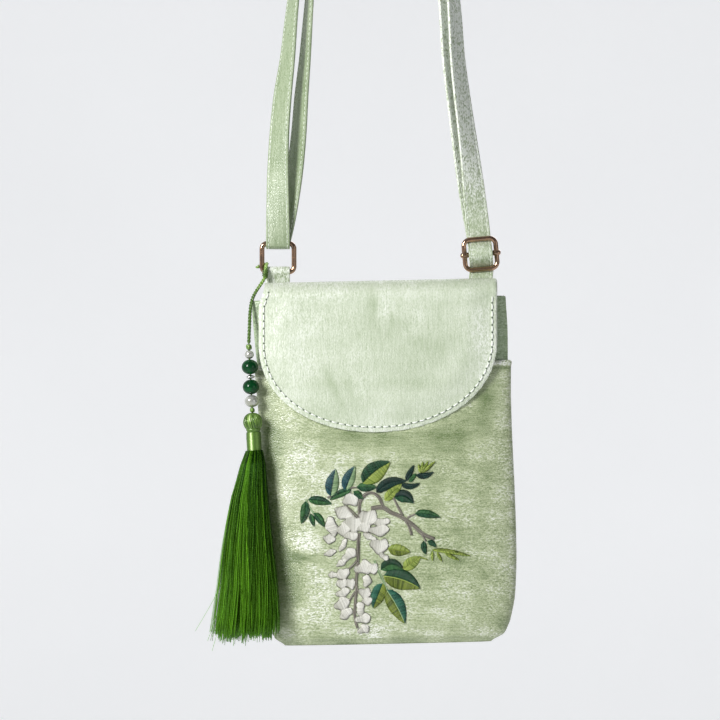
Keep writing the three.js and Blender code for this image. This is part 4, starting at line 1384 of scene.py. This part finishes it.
def beads_and_thread():
    finishes = {"bead_small_pearl": (pearl_finish, "pearl"), "bead_large_pearl": (pearl_finish, "pearl")}
    finishes["bead_spacer"] = (silver, "silver_spacer")
    hole = thread_radius + 0.3
    z = -upper_knot["height"]
    for bead in charm_beads:
        z -= bead_gap + bead["height"] / 2
        material, slot_name = finishes.get(bead["name"], (bead_finish, "green_bead"))
        points, faces = round_bead(bead["radius"], bead["height"], hole)
        made = piece(bead["name"] + "_turned", hung(points + [0, 0, z]), faces, material, slot_name)
        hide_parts(bead["name"])
        z -= bead["height"] / 2
    lower_top = z - bead_gap
    head_top = lower_top - lower_knot["height"] - bead_gap
    bottom = head_top - head_height * 0.7
    parts = [tubes([[[0, 0, -0.1], [0, 0, -20], [0, 0, bottom]]], thread_radius, (0, 1, 0), sides=10)]
    parts.append(knot_strands(upper_knot["radius"], upper_knot["height"], -upper_knot["height"] / 2))
    lower_middle = lower_top - lower_knot["height"] / 2
    parts.append(knot_strands(lower_knot["radius"], lower_knot["height"], lower_middle))
    points, faces = joined(parts)
    thread = piece(
        "bead_thread_laid", hung(points), faces, cord_silk, "green_silk", tone=np.full(len(points), 0.45)
    )
    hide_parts("bead_thread")
    return head_top


def wound_thread(profile_at, turns, steps):
    """One thread wound many times round, from the top of a profile to its bottom."""
    t = np.linspace(0, 1, turns * steps + 1)
    angle = 2 * np.pi * t * turns
    r, z = profile_at(t)
    return np.stack([r * np.cos(angle), r * np.sin(angle), z], 1)


def window_painted_highlight(angle):
    """A painted highlight: how far a place round the charm is turned to the window, from 0 to 1."""
    off = np.angle(np.exp(1j * (angle - math.radians(250))))
    return np.exp(-((off / 0.24) ** 2)) + 0.35 * np.exp(-(((off - 0.85) / 0.2) ** 2))


def tassel_head(head_top):
    """Strands from the head's top down over the ball, with a painted highlight where they turn to the
    window, on a core painted dark as painted shade between the strands.
    """
    lines, shares = 64, np.linspace(0.03, 0.97, 22)
    paths, lit = [], []
    for k in range(lines):
        start = 2 * np.pi * k / lines + rng.normal(0, 0.03)
        swirl = 0.5 + rng.normal(0, 0.12)
        angle = start + swirl * shares
        polar = np.pi * shares * 0.9 + 0.08
        # A painted highlight on each strand where it turns to the window.
        lit.append(0.9 * window_painted_highlight(angle) * np.exp(-(((polar - 1.15) / 0.5) ** 2)))
        wobble = 1 + 0.02 * np.sin(7 * shares + k)
        r = (head_radius - 0.3) * np.sin(polar) ** 0.85 * wobble
        z = head_top - head_height / 2 + (head_height / 2 - 0.3) * np.cos(polar)
        paths.append(np.stack([r * np.cos(angle), r * np.sin(angle), z], 1))
    points, faces = tubes(hung(np.array(paths)), head_strand_radius, (0.2, 0.3, 1.0), sides=5)
    own = np.clip(rng.normal(0.32, 0.26, lines), 0.0, 1)
    tone = np.repeat((own[:, None] + np.array(lit)).reshape(-1), 5)
    angles = np.linspace(-math.pi / 2 + 0.15, math.pi / 2 - 0.15, 16)
    core = [[(head_radius - 0.5) * math.cos(a), (head_height / 2 - 0.4) * math.sin(a)] for a in angles]
    core = [[0.75, core[0][1]], *core, [0.75, core[-1][1]]]
    core_points, core_faces = turned(core, 32)
    core_points = hung(core_points + [0, 0, head_top - head_height / 2])
    foot = head_top - head_height
    neck = [[0.8, foot - 0.6], [3.2, foot - 0.6], [3.25, foot]]
    neck += [[3.7, foot + 0.9], [3.6, foot + 1.6], [0.8, foot + 1.6]]
    neck_points, neck_faces = turned(neck, 40)
    all_points, all_faces = joined(
        [(points, faces), (core_points, core_faces), (hung(neck_points), neck_faces)]
    )
    # The core is painted darkest, a painted shade between the strands.
    tone = np.concatenate([tone, np.full(len(core_points), 0.0), np.full(len(neck_points), 0.25)])
    head = piece("tassel_head_strands", all_points, all_faces, cord_silk, "green_silk", tone=tone)
    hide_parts("tassel_head")


def tassel_wrap(head_top):
    """The sleeve of thread wound round the neck, with a painted highlight on the side turned to the window.
    Gives the height of its lower end.
    """
    clear = head_top - head_height - cloth_gap
    wrap_end = clear - wrap_height

    def sleeve_at(t):
        bulge = np.sin(np.pi * np.clip(t, 0, 1)) ** 0.4
        return wrap_radius - 0.35 + 0.12 * bulge, clear - 0.2 - (wrap_height - 0.4) * t

    turns, steps = 36, 40
    winding = wound_thread(sleeve_at, turns, steps)
    # The wrap's tone is a painted highlight on the side turned to the window.
    tone = 0.2 + 0.95 * window_painted_highlight(2 * np.pi * np.arange(len(winding)) / steps)
    points, faces = tubes(hung(winding[None]), wrap_thread_radius, (0.3, 0.2, 1.0), sides=5)
    bore, rim, wall = wrap_radius - 0.9, wrap_radius - 0.36, wrap_radius - 0.3
    sleeve = [[bore, wrap_end], [rim, wrap_end], [wall, wrap_end + 2]]
    sleeve += [[wall, clear - 2], [rim, clear], [bore, clear]]
    sleeve_points, sleeve_faces = turned(sleeve, 48)
    all_points, all_faces = joined([(points, faces), (hung(sleeve_points), sleeve_faces)])
    tone = np.concatenate([np.repeat(tone, 5), np.full(len(sleeve_points), 0.2)])
    wrap = piece("tassel_wrap_thread", all_points, all_faces, cord_silk, "green_silk", tone=tone)
    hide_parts("tassel_wrap")
    return wrap_end


def skirt_place(down, angle, reach, wrap_end):
    row = row_at(skirt_rows, "down", down)
    flat = 1 + (skirt_flatness - 1) * min(1, down * 3)
    radius = skirt_half_width * row["wide"] * reach
    x = -skirt_length * row["drift"] + radius * np.cos(angle)
    z = 0 * x + wrap_end - cloth_gap - skirt_length * down
    return np.stack([x, flat * radius * np.sin(angle), z], -1)


def tassel_skirt(wrap_end):
    count, steps = skirt_strands, 13
    base_angle = rng.uniform(0, 2 * np.pi, count)
    lock = np.round(base_angle / (2 * np.pi) * 26)
    reach = np.sqrt(rng.uniform(0.3, 1.0, count))
    length = 1 + rng.normal(0, 0.02, count) + 0.02 * np.sin(lock * 2.4)
    sway = rng.normal(0, 0.11, (count, 2))
    paths = np.zeros((count, steps, 3))
    for i, share in enumerate(np.linspace(0, 1, steps)):
        pull = 0.09 * np.sin(lock * 1.7) * share
        angle = base_angle + pull + sway[:, 0] * np.sin(3 * share + lock)
        out = reach * (1 + sway[:, 1] * share * 1.2)
        place = skirt_place(share, angle, out * 0.97, wrap_end)
        place[:, 2] = wrap_end + 0.4 - (skirt_length + cloth_gap) * share * length
        paths[:, i] = place
    points, faces = tubes(hung(paths), np.linspace(0.2, 0.15, steps)[None], (0.2, 1.0, 0.1), sides=3)
    tone_at = np.clip(rng.beta(0.6, 2.0, count) + 0.1 * np.sin(lock * 2.1), 0.0, 1)
    # Strands are painted darker near the wrap and lighter towards their ends, as painted shade where they
    # crowd under the wrap.
    along = np.linspace(-0.1, 0.3, steps)
    tone = np.repeat((tone_at[:, None] + along[None]).reshape(-1), 3)
    core_rings = []
    around = np.linspace(0, 2 * np.pi, 40, endpoint=False)
    for share in np.linspace(0.0, 0.95, 16):
        core_rings.append(hung(skirt_place(share, around, 0.62 + 0 * around, wrap_end)))
    core_points, core_faces = lofted(core_rings)
    all_points, all_faces = joined([(points, faces), (core_points, core_faces)])
    # The core inside the skirt is painted nearly black, a painted shade between the strands.
    tone = np.concatenate([tone, np.full(len(core_points), 0.02)])
    skirt = piece("tassel_skirt_strands", all_points, all_faces, tassel_silk, "green_silk", tone=tone)
    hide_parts("tassel_skirt")


# A few threads that stand off the skirt. start is a share down the skirt, out and drop are
# where the end lies from the skirt's middle at its hem.
stray_rows = table("start out drop bow", [
    (0.45, -25, -2, 6),
    (0.55, -19, 3, 3),
    (0.7, -17, 8, 2),
    (0.6, 15, 2, -2),
    (0.75, -15.5, -1, 2),
])


def stray_threads(wrap_end):
    paths = []
    for k, row in enumerate(stray_rows):
        side = np.pi if row["out"] < 0 else 0.0
        a = skirt_place(row["start"], np.array([side + 0.3]), np.array([0.9]), wrap_end)[0]
        low = row_at(skirt_rows, "down", 1.0)
        b = np.array([
            -skirt_length * low["drift"] + row["out"], -2.0 - k, wrap_end - skirt_length - row["drop"]
        ])
        t = np.linspace(0, 1, 16)[:, None]
        bow = np.array([row["bow"], 0, 0])
        paths.append(a + (b - a) * t + bow * np.sin(np.pi * t) * (1 - t * 0.4))
    points, faces = tubes(hung(np.array(paths)), 0.12, (0.2, 1.0, 0.1), sides=4)
    piece("tassel_stray_threads", points, faces, tassel_silk, "green_silk", tone=np.full(len(points), 0.85))


# Embroidery. Its places are millimetres from the spray's own origin on the pocket.

spray_x, spray_z = 0.0, -430.0
thread_pitch = 0.52
thread_width = 0.28
outline_width = 0.18
petal_pitch = 0.42

threads_by_tone = {}


def lay(tone_name, path, height, tree, tone):
    """Keeps one thread: a path of places on the pocket with a height above it at each."""
    line = []
    for (x, z), rise in zip(path, height):
        found = on_front(tree, spray_x + x, spray_z + z)
        if found is None:
            return
        line.append(found[0] + [0, -rise, 0])
    threads_by_tone.setdefault((tone_name, len(line)), []).append((line, tone))


def bent_line(base, tip, bend, share):
    base, tip = np.array(base, float), np.array(tip, float)
    way = tip - base
    left = np.array([-way[1], way[0]]) / np.hypot(*way)
    share = np.asarray(share, float)[..., None]
    return base + way * share + left * bend * np.sin(np.pi * share)


def satin_leaf(tree, leaf):
    """Slanted satin stitches from the midrib to both edges, each half in its own colour."""
    base, tip = leaf["base"], leaf["tip"]
    length = math.dist(base, tip)
    bend = leaf["bend"]
    count = int(length / thread_pitch)
    slant = min(0.3, 1.6 / length)
    steps = np.linspace(0, 1, 5)
    for side, tone_name in ((1, leaf["left"]), (-1, leaf["right"])):
        for k in range(count):
            t = (k + 0.5) / count
            end = min(t + slant * (1 - t), 1.0)
            wide = leaf["wide"] / 2 * max(math.sin(math.pi * end ** 0.82), 0.0) ** 0.75
            wide *= 1.0 if side > 0 else leaf.get("right_share", 1.0)
            rib = bent_line(base, tip, bend, t)
            edge_rib = bent_line(base, tip, bend, end)
            ahead = bent_line(base, tip, bend, min(end + 0.02, 1.02))
            ahead = ahead - bent_line(base, tip, bend, end - 0.02)
            normal = np.array([-ahead[1], ahead[0]]) / max(np.hypot(*ahead), 1e-6)
            edge = edge_rib + normal * side * (wide + rng.normal(0, 0.05))
            path = rib + (edge - rib) * steps[:, None]
            height = 0.12 + 0.42 * np.sin(np.pi * (0.15 + 0.8 * steps)) ** 0.8
            height[-1] = -0.05
            lay(tone_name, path, height, tree, 0.5 + rng.normal(0, 0.28))
    if leaf.get("vein"):
        share = np.linspace(0.02, 0.97, 14)
        lay(leaf["vein"], bent_line(base, tip, bend, share), np.full(14, 0.45), tree, 0.7)


def petal_reach(petal, u, side):
    """Half width of a petal at u along it, waved differently on its two sides."""
    x, z = petal["at"]
    wave = np.where(side < 0, np.sin(3.6 * u + x), np.sin(4.4 * u + 2.0 + z))
    return petal["short"] * np.sqrt(np.clip(1 - u * u, 0, 1)) * (1 + 0.24 * wave) * (1 + 0.22 * u)


def satin_petal(tree, petal):
    """A padded petal of parallel stitches, with a thin grey outline on its lower side."""
    x, z = petal["at"]
    a, b = petal["long"], petal["short"]
    tilt = math.radians(petal["tilt"])
    ex = np.array([math.cos(tilt), math.sin(tilt)])
    ez = np.array([-math.sin(tilt), math.cos(tilt)])
    steps = np.linspace(-1, 1, 7)
    count = max(int(2 * a / petal_pitch), 4)
    for k in range(count):
        u = -1 + 2 * (k + 0.5) / count
        reach = petal_reach(petal, u, steps)
        fan = 0.14 * u * b
        path = np.array([x, z]) + np.outer(u * a + fan * steps * 0.6, ex) + np.outer(steps * reach, ez)
        height = 0.05 + 0.62 * np.sqrt(np.clip(1 - steps ** 2, 0, 1)) * (1 - 0.5 * u * u)
        lay("petal", path, height, tree, 0.55 + 0.35 * u + rng.normal(0, 0.1))
    turn = np.linspace(math.radians(100), math.radians(440), 34)
    reach = petal_reach(petal, np.cos(turn), np.sin(turn)) * np.sign(np.sin(turn)) * 1.04
    ring = np.array([x, z]) + np.outer(a * 1.04 * np.cos(turn), ex) + np.outer(reach, ez)
    lay("outline", ring, np.full(34, 0.2), tree, 0.5 + rng.normal(0, 0.2))


def stem(tree, tone_name, places, wide, strands):
    """Long strands side by side along a line of places, as in stem stitch."""
    line = np.array(places, float)
    steps = max(int(sum(math.dist(a, b) for a, b in zip(places, places[1:])) / 0.8), 4)
    share = np.linspace(0, len(line) - 1, steps)
    smooth = []
    for s in share:
        i = min(int(s), len(line) - 2)
        a, b, c, d = line[max(i - 1, 0)], line[i], line[i + 1], line[min(i + 2, len(line) - 1)]
        smooth.append(spline(a, b, c, d, s - i))
    smooth = np.array(smooth)
    along = np.gradient(smooth, axis=0)
    normal = unit(np.stack([-along[:, 1], along[:, 0]], 1))
    for k in range(strands):
        offset = (k - (strands - 1) / 2) / max(strands - 1, 1) * wide
        swing = 0.12 * np.sin(np.linspace(0, steps / 2.2, steps) + k * 2)
        taper = np.linspace(1, 0.75, steps)
        path = smooth + normal * (offset * taper + swing)[:, None]
        edge = abs(offset) / max(wide / 2, 0.1)
        tone = 0.35 + 0.4 * (k % 2) + rng.normal(0, 0.1)
        lay(tone_name, path, np.full(steps, 0.42 - 0.22 * edge), tree, tone)


leaves = table("base tip wide bend left right vein right_share", [
    ((-35.2, -0.5), (-37.4, -11.7), 4.6, 0.8, "dark", "green"),
    ((-34.1, 0.2), (-22.3, -1.8), 4.3, 0.5, "dark", "green"),
    ((-32.8, -6.6), (-31.0, -13.0), 2.5, 0, "green", "dark"),
    ((-31.0, -6.3), (-25.8, -13.3), 3.5, 0.4, "green", "dark"),
    ((-22.6, 1.8), (-20.2, 15.4), 7.4, 0, "teal", "pale", None, 0.8),
    ((-15.4, 4.6), (-10.6, 16.8), 7.2, 0, "teal", "pale", None, 0.7),
    ((-12.3, 5.2), (-23.0, 0.2), 3.6, -0.6, "green", "dark"),
    ((-6.7, 8.4), (7.0, 19.0), 10.0, 0.8, "dark", "lime"),
    ((-9.8, 6.6), (0.2, 6.4), 4.4, 0, "green", "dark"),
    ((-11.2, 4.6), (-6.4, 0.6), 3.6, 0, "green", "dark"),
    ((0.0, 3.8), (14.8, 9.6), 5.6, 2.0, "night", "night"),
    ((4.2, -0.2), (12.8, 8.0), 5.0, 0, "lime", "lime"),
    ((9.0, 1.4), (18.6, -1.4), 6.4, 2.0, "night", "dark"),
    ((12.3, 8.2), (21.8, 8.4), 2.8, -1.5, "night", "night"),
    ((14.8, 9.5), (18.9, 17.4), 2.7, 0, "night", "night"),
    ((19.8, 12.6), (28.6, 14.0), 2.8, -1.2, "night", "night"),
    ((16.4, 9.0), (20.0, 13.2), 2.2, 0, "green", "green"),
    ((22.3, 13.4), (21.2, 17.9), 1.3, 0, "lime", "olive"),
    ((22.6, 13.6), (23.4, 19.2), 1.3, 0, "lime", "olive"),
    ((22.9, 13.8), (26.0, 19.4), 1.4, 0, "lime", "olive"),
    ((23.2, 13.6), (29.4, 19.3), 1.6, 0, "lime", "olive"),
    ((19.4, -6.6), (31.9, -8.5), 3.9, 0.7, "green", "dark"),
    ((23.8, -20.2), (24.8, -27.0), 2.8, -0.4, "dark", "dark"),
    ((25.6, -20.2), (30.0, -23.2), 2.6, 0.3, "dark", "dark"),
    ((27.9, -24.7), (47.0, -27.9), 2.2, 0.5, "olive", "lime"),
    ((27.9, -25.2), (28.2, -30.2), 1.3, 0, "lime", "lime"),
    ((30.4, -25.8), (32.8, -30.5), 1.3, 0, "olive", "lime"),
    ((34.2, -26.4), (41.5, -30.0), 1.6, 0, "olive", "lime"),
    ((5.8, -24.2), (17.0, -25.8), 5.8, 0, "lime", "olive", "olive"),
    ((13.4, -34.4), (22.2, -28.2), 5.8, 0, "lime", "lime", "olive"),
    ((2.2, -34.8), (13.6, -34.6), 6.2, 2.6, "dark", "green"),
    ((3.6, -37.8), (21.8, -43.9), 10.4, 1.2, "dark", "olive", "lime"),
    ((3.4, -41.4), (-1.4, -53.9), 7.2, 0, "olive", "sea"),
    ((5.2, -44.7), (14.4, -61.4), 8.6, 0.6, "sea", "olive", "pale"),
])

petals = table("at long short tilt", [
    ((-12.8, 0.2), 4.0, 3.1, 20),
    ((-16.3, -6.3), 4.5, 3.0, -25),
    ((-22.0, -13.3), 5.0, 2.7, 105),
    ((-23.4, -19.3), 3.0, 2.1, -10),
    ((-16.3, -14.5), 3.6, 3.0, 15),
    ((-12.5, -17.8), 3.6, 2.0, 5),
    ((-11.8, -11.7), 4.3, 4.1, 0),
    ((-6.5, -13.5), 3.6, 2.6, 10),
    ((-4.2, -8.8), 4.5, 4.0, -15),
    ((2.8, -11.0), 4.0, 1.9, 8),
    ((1.4, -14.9), 5.0, 2.6, 5),
    ((-3.2, -18.2), 3.4, 1.4, -25),
    ((-16.5, -22.5), 3.4, 1.3, 60),
    ((-23.0, -26.3), 3.1, 1.4, 18),
    ((1.4, -22.6), 4.5, 3.5, -8),
    ((3.8, -28.0), 2.7, 1.4, -40),
    ((-13.6, -27.4), 4.1, 2.4, 42),
    ((-17.2, -31.2), 3.0, 1.4, 35),
    ((-6.6, -33.8), 4.3, 3.1, 18),
    ((-2.4, -34.0), 3.2, 2.8, -20),
    ((-16.6, -36.9), 3.6, 2.5, 25),
    ((-21.7, -37.3), 2.1, 1.5, 0),
    ((-17.0, -41.7), 2.8, 2.3, 10),
    ((-13.0, -41.7), 2.4, 2.5, 0),
    ((-4.6, -40.4), 3.0, 2.0, 80),
    ((-16.6, -46.2), 3.6, 2.0, 20),
    ((-5.8, -46.3), 3.1, 2.4, -15),
    ((-4.4, -50.2), 2.6, 2.0, 10),
    ((-17.0, -51.9), 4.1, 2.9, 25),
    ((-7.7, -54.5), 3.5, 2.0, 95),
    ((-15.0, -56.7), 3.6, 2.4, 40),
    ((-6.8, -59.3), 4.0, 2.2, 12),
    ((-6.4, -64.6), 3.0, 2.0, 30),
])

stems = table("tone wide strands line", [
    ("pale", 0.4, 2, [(-35.1, 0.2), (-33.4, -3.2), (-31.0, -6.8)]),
    ("bark", 0.5, 2, [(-24.3, 1.2), (-18.9, 3.7), (-13.2, 5.9), (-9.3, 6.2), (-5.2, 4.8)]),
    ("bark", 1.9, 7,
     [(-2.5, -4.2), (3.5, -3.7), (8.0, -6.4), (13.4, -8.8), (17.5, -11.7), (23.0, -16.5), (29.0, -19.4)]),
    ("bark", 1.2, 4, [(14.8, -10.2), (16.6, -13.6), (17.8, -17.4)]),
    ("bark", 0.8, 3, [(22.3, -16.2), (23.6, -18.4), (24.8, -20.4)]),
    ("bark", 0.8, 3, [(8.6, 1.4), (10.6, -2.8), (13.3, -7.6)]),
    ("bark", 0.6, 2, [(15.6, -8.9), (17.6, -7.8), (19.8, -6.8)]),
    ("bark", 1.4, 5, [(-8.1, -8.5), (-8.3, -1.8), (-6.0, 2.2), (-2.3, 3.7), (1.2, 1.8), (3.5, -3.4)]),
    ("bark", 1.0, 3, [(-15.0, -3.0), (-12.0, -5.6), (-9.2, -8.7)]),
    ("bark", 0.8, 3, [(-5.0, -16.0), (-2.8, -17.8), (-0.4, -20.2)]),
    ("bark", 1.5, 5, [(-8.8, -16.3), (-8.9, -23.5), (-9.2, -30.8)]),
    ("bark", 1.1, 4,
     [(-9.2, -30.6), (-9.7, -37.8), (-9.9, -44.0), (-10.3, -51.0), (-10.8, -57.8), (-9.2, -63.9)]),
    ("bark", 0.8, 3, [(-9.6, -30.2), (-11.6, -32.6), (-13.6, -34.2)]),
    ("bark", 0.7, 3, [(-10.0, -42.6), (-9.0, -44.8), (-8.0, -46.4)]),
    ("bark", 0.9, 3, [(-10.4, -45.8), (-12.0, -48.0), (-13.4, -50.3)]),
    ("pale", 0.6, 2, [(-0.9, -30.1), (1.8, -36.6), (5.6, -44.9)]),
    ("olive", 0.4, 2, [(21.6, -28.6), (23.8, -29.0), (25.8, -29.8)]),
])

thread_colours = {
    "petal": ((0.34, 0.34, 0.28), (0.82, 0.81, 0.74)),
    "outline": ((0.05, 0.05, 0.04), (0.17, 0.165, 0.14)),
    "bark": ((0.05, 0.045, 0.035), (0.27, 0.25, 0.21)),
    "dark": ((0.004, 0.025, 0.01), (0.02, 0.09, 0.04)),
    "night": ((0.002, 0.012, 0.01), (0.008, 0.04, 0.03)),
    "green": ((0.008, 0.05, 0.012), (0.05, 0.16, 0.05)),
    "teal": ((0.004, 0.03, 0.04), (0.02, 0.09, 0.11)),
    "sea": ((0.006, 0.05, 0.03), (0.04, 0.17, 0.11)),
    "pale": ((0.09, 0.19, 0.08), (0.33, 0.46, 0.25)),
    "lime": ((0.1, 0.17, 0.015), (0.36, 0.45, 0.1)),
    "olive": ((0.05, 0.08, 0.008), (0.22, 0.28, 0.045)),
}


def embroidery(pocket):
    tree = surface_tree(pocket)
    for petal in petals:
        satin_petal(tree, petal)
    for row in stems:
        stem(tree, row["tone"], row["line"], row["wide"], row["strands"])
    for leaf in leaves:
        satin_leaf(tree, leaf)
    for tone_name, (dark, light) in thread_colours.items():
        parts, tones = [], []
        for (name, steps), threads in threads_by_tone.items():
            if name != tone_name:
                continue
            width = outline_width if tone_name == "outline" else thread_width
            points, faces = tubes([line for line, _ in threads], width, (0, -1, 0), sides=4)
            parts.append((points, faces))
            tones.append(np.repeat([tone for _, tone in threads], steps * 4))
        points, faces = joined(parts)
        material = silk(f"{tone_name}_silk", dark, light, rough=0.4, gloss=0.35)
        piece(f"spray_{tone_name}", points, faces, material, "body_satin", tone=np.concatenate(tones))


pouch_body()
pocket_cloth = front_pocket()
flap_cloth = flap()
bpy.context.view_layer.update()
flap_stitches(flap_cloth)
strap_and_tab()
ring_and_slider()
head_top_z = beads_and_thread()
tassel_head(head_top_z)
wrap_end_z = tassel_wrap(head_top_z)
tassel_skirt(wrap_end_z)
stray_threads(wrap_end_z)
embroidery(pocket_cloth)

bpy.context.view_layer.update()
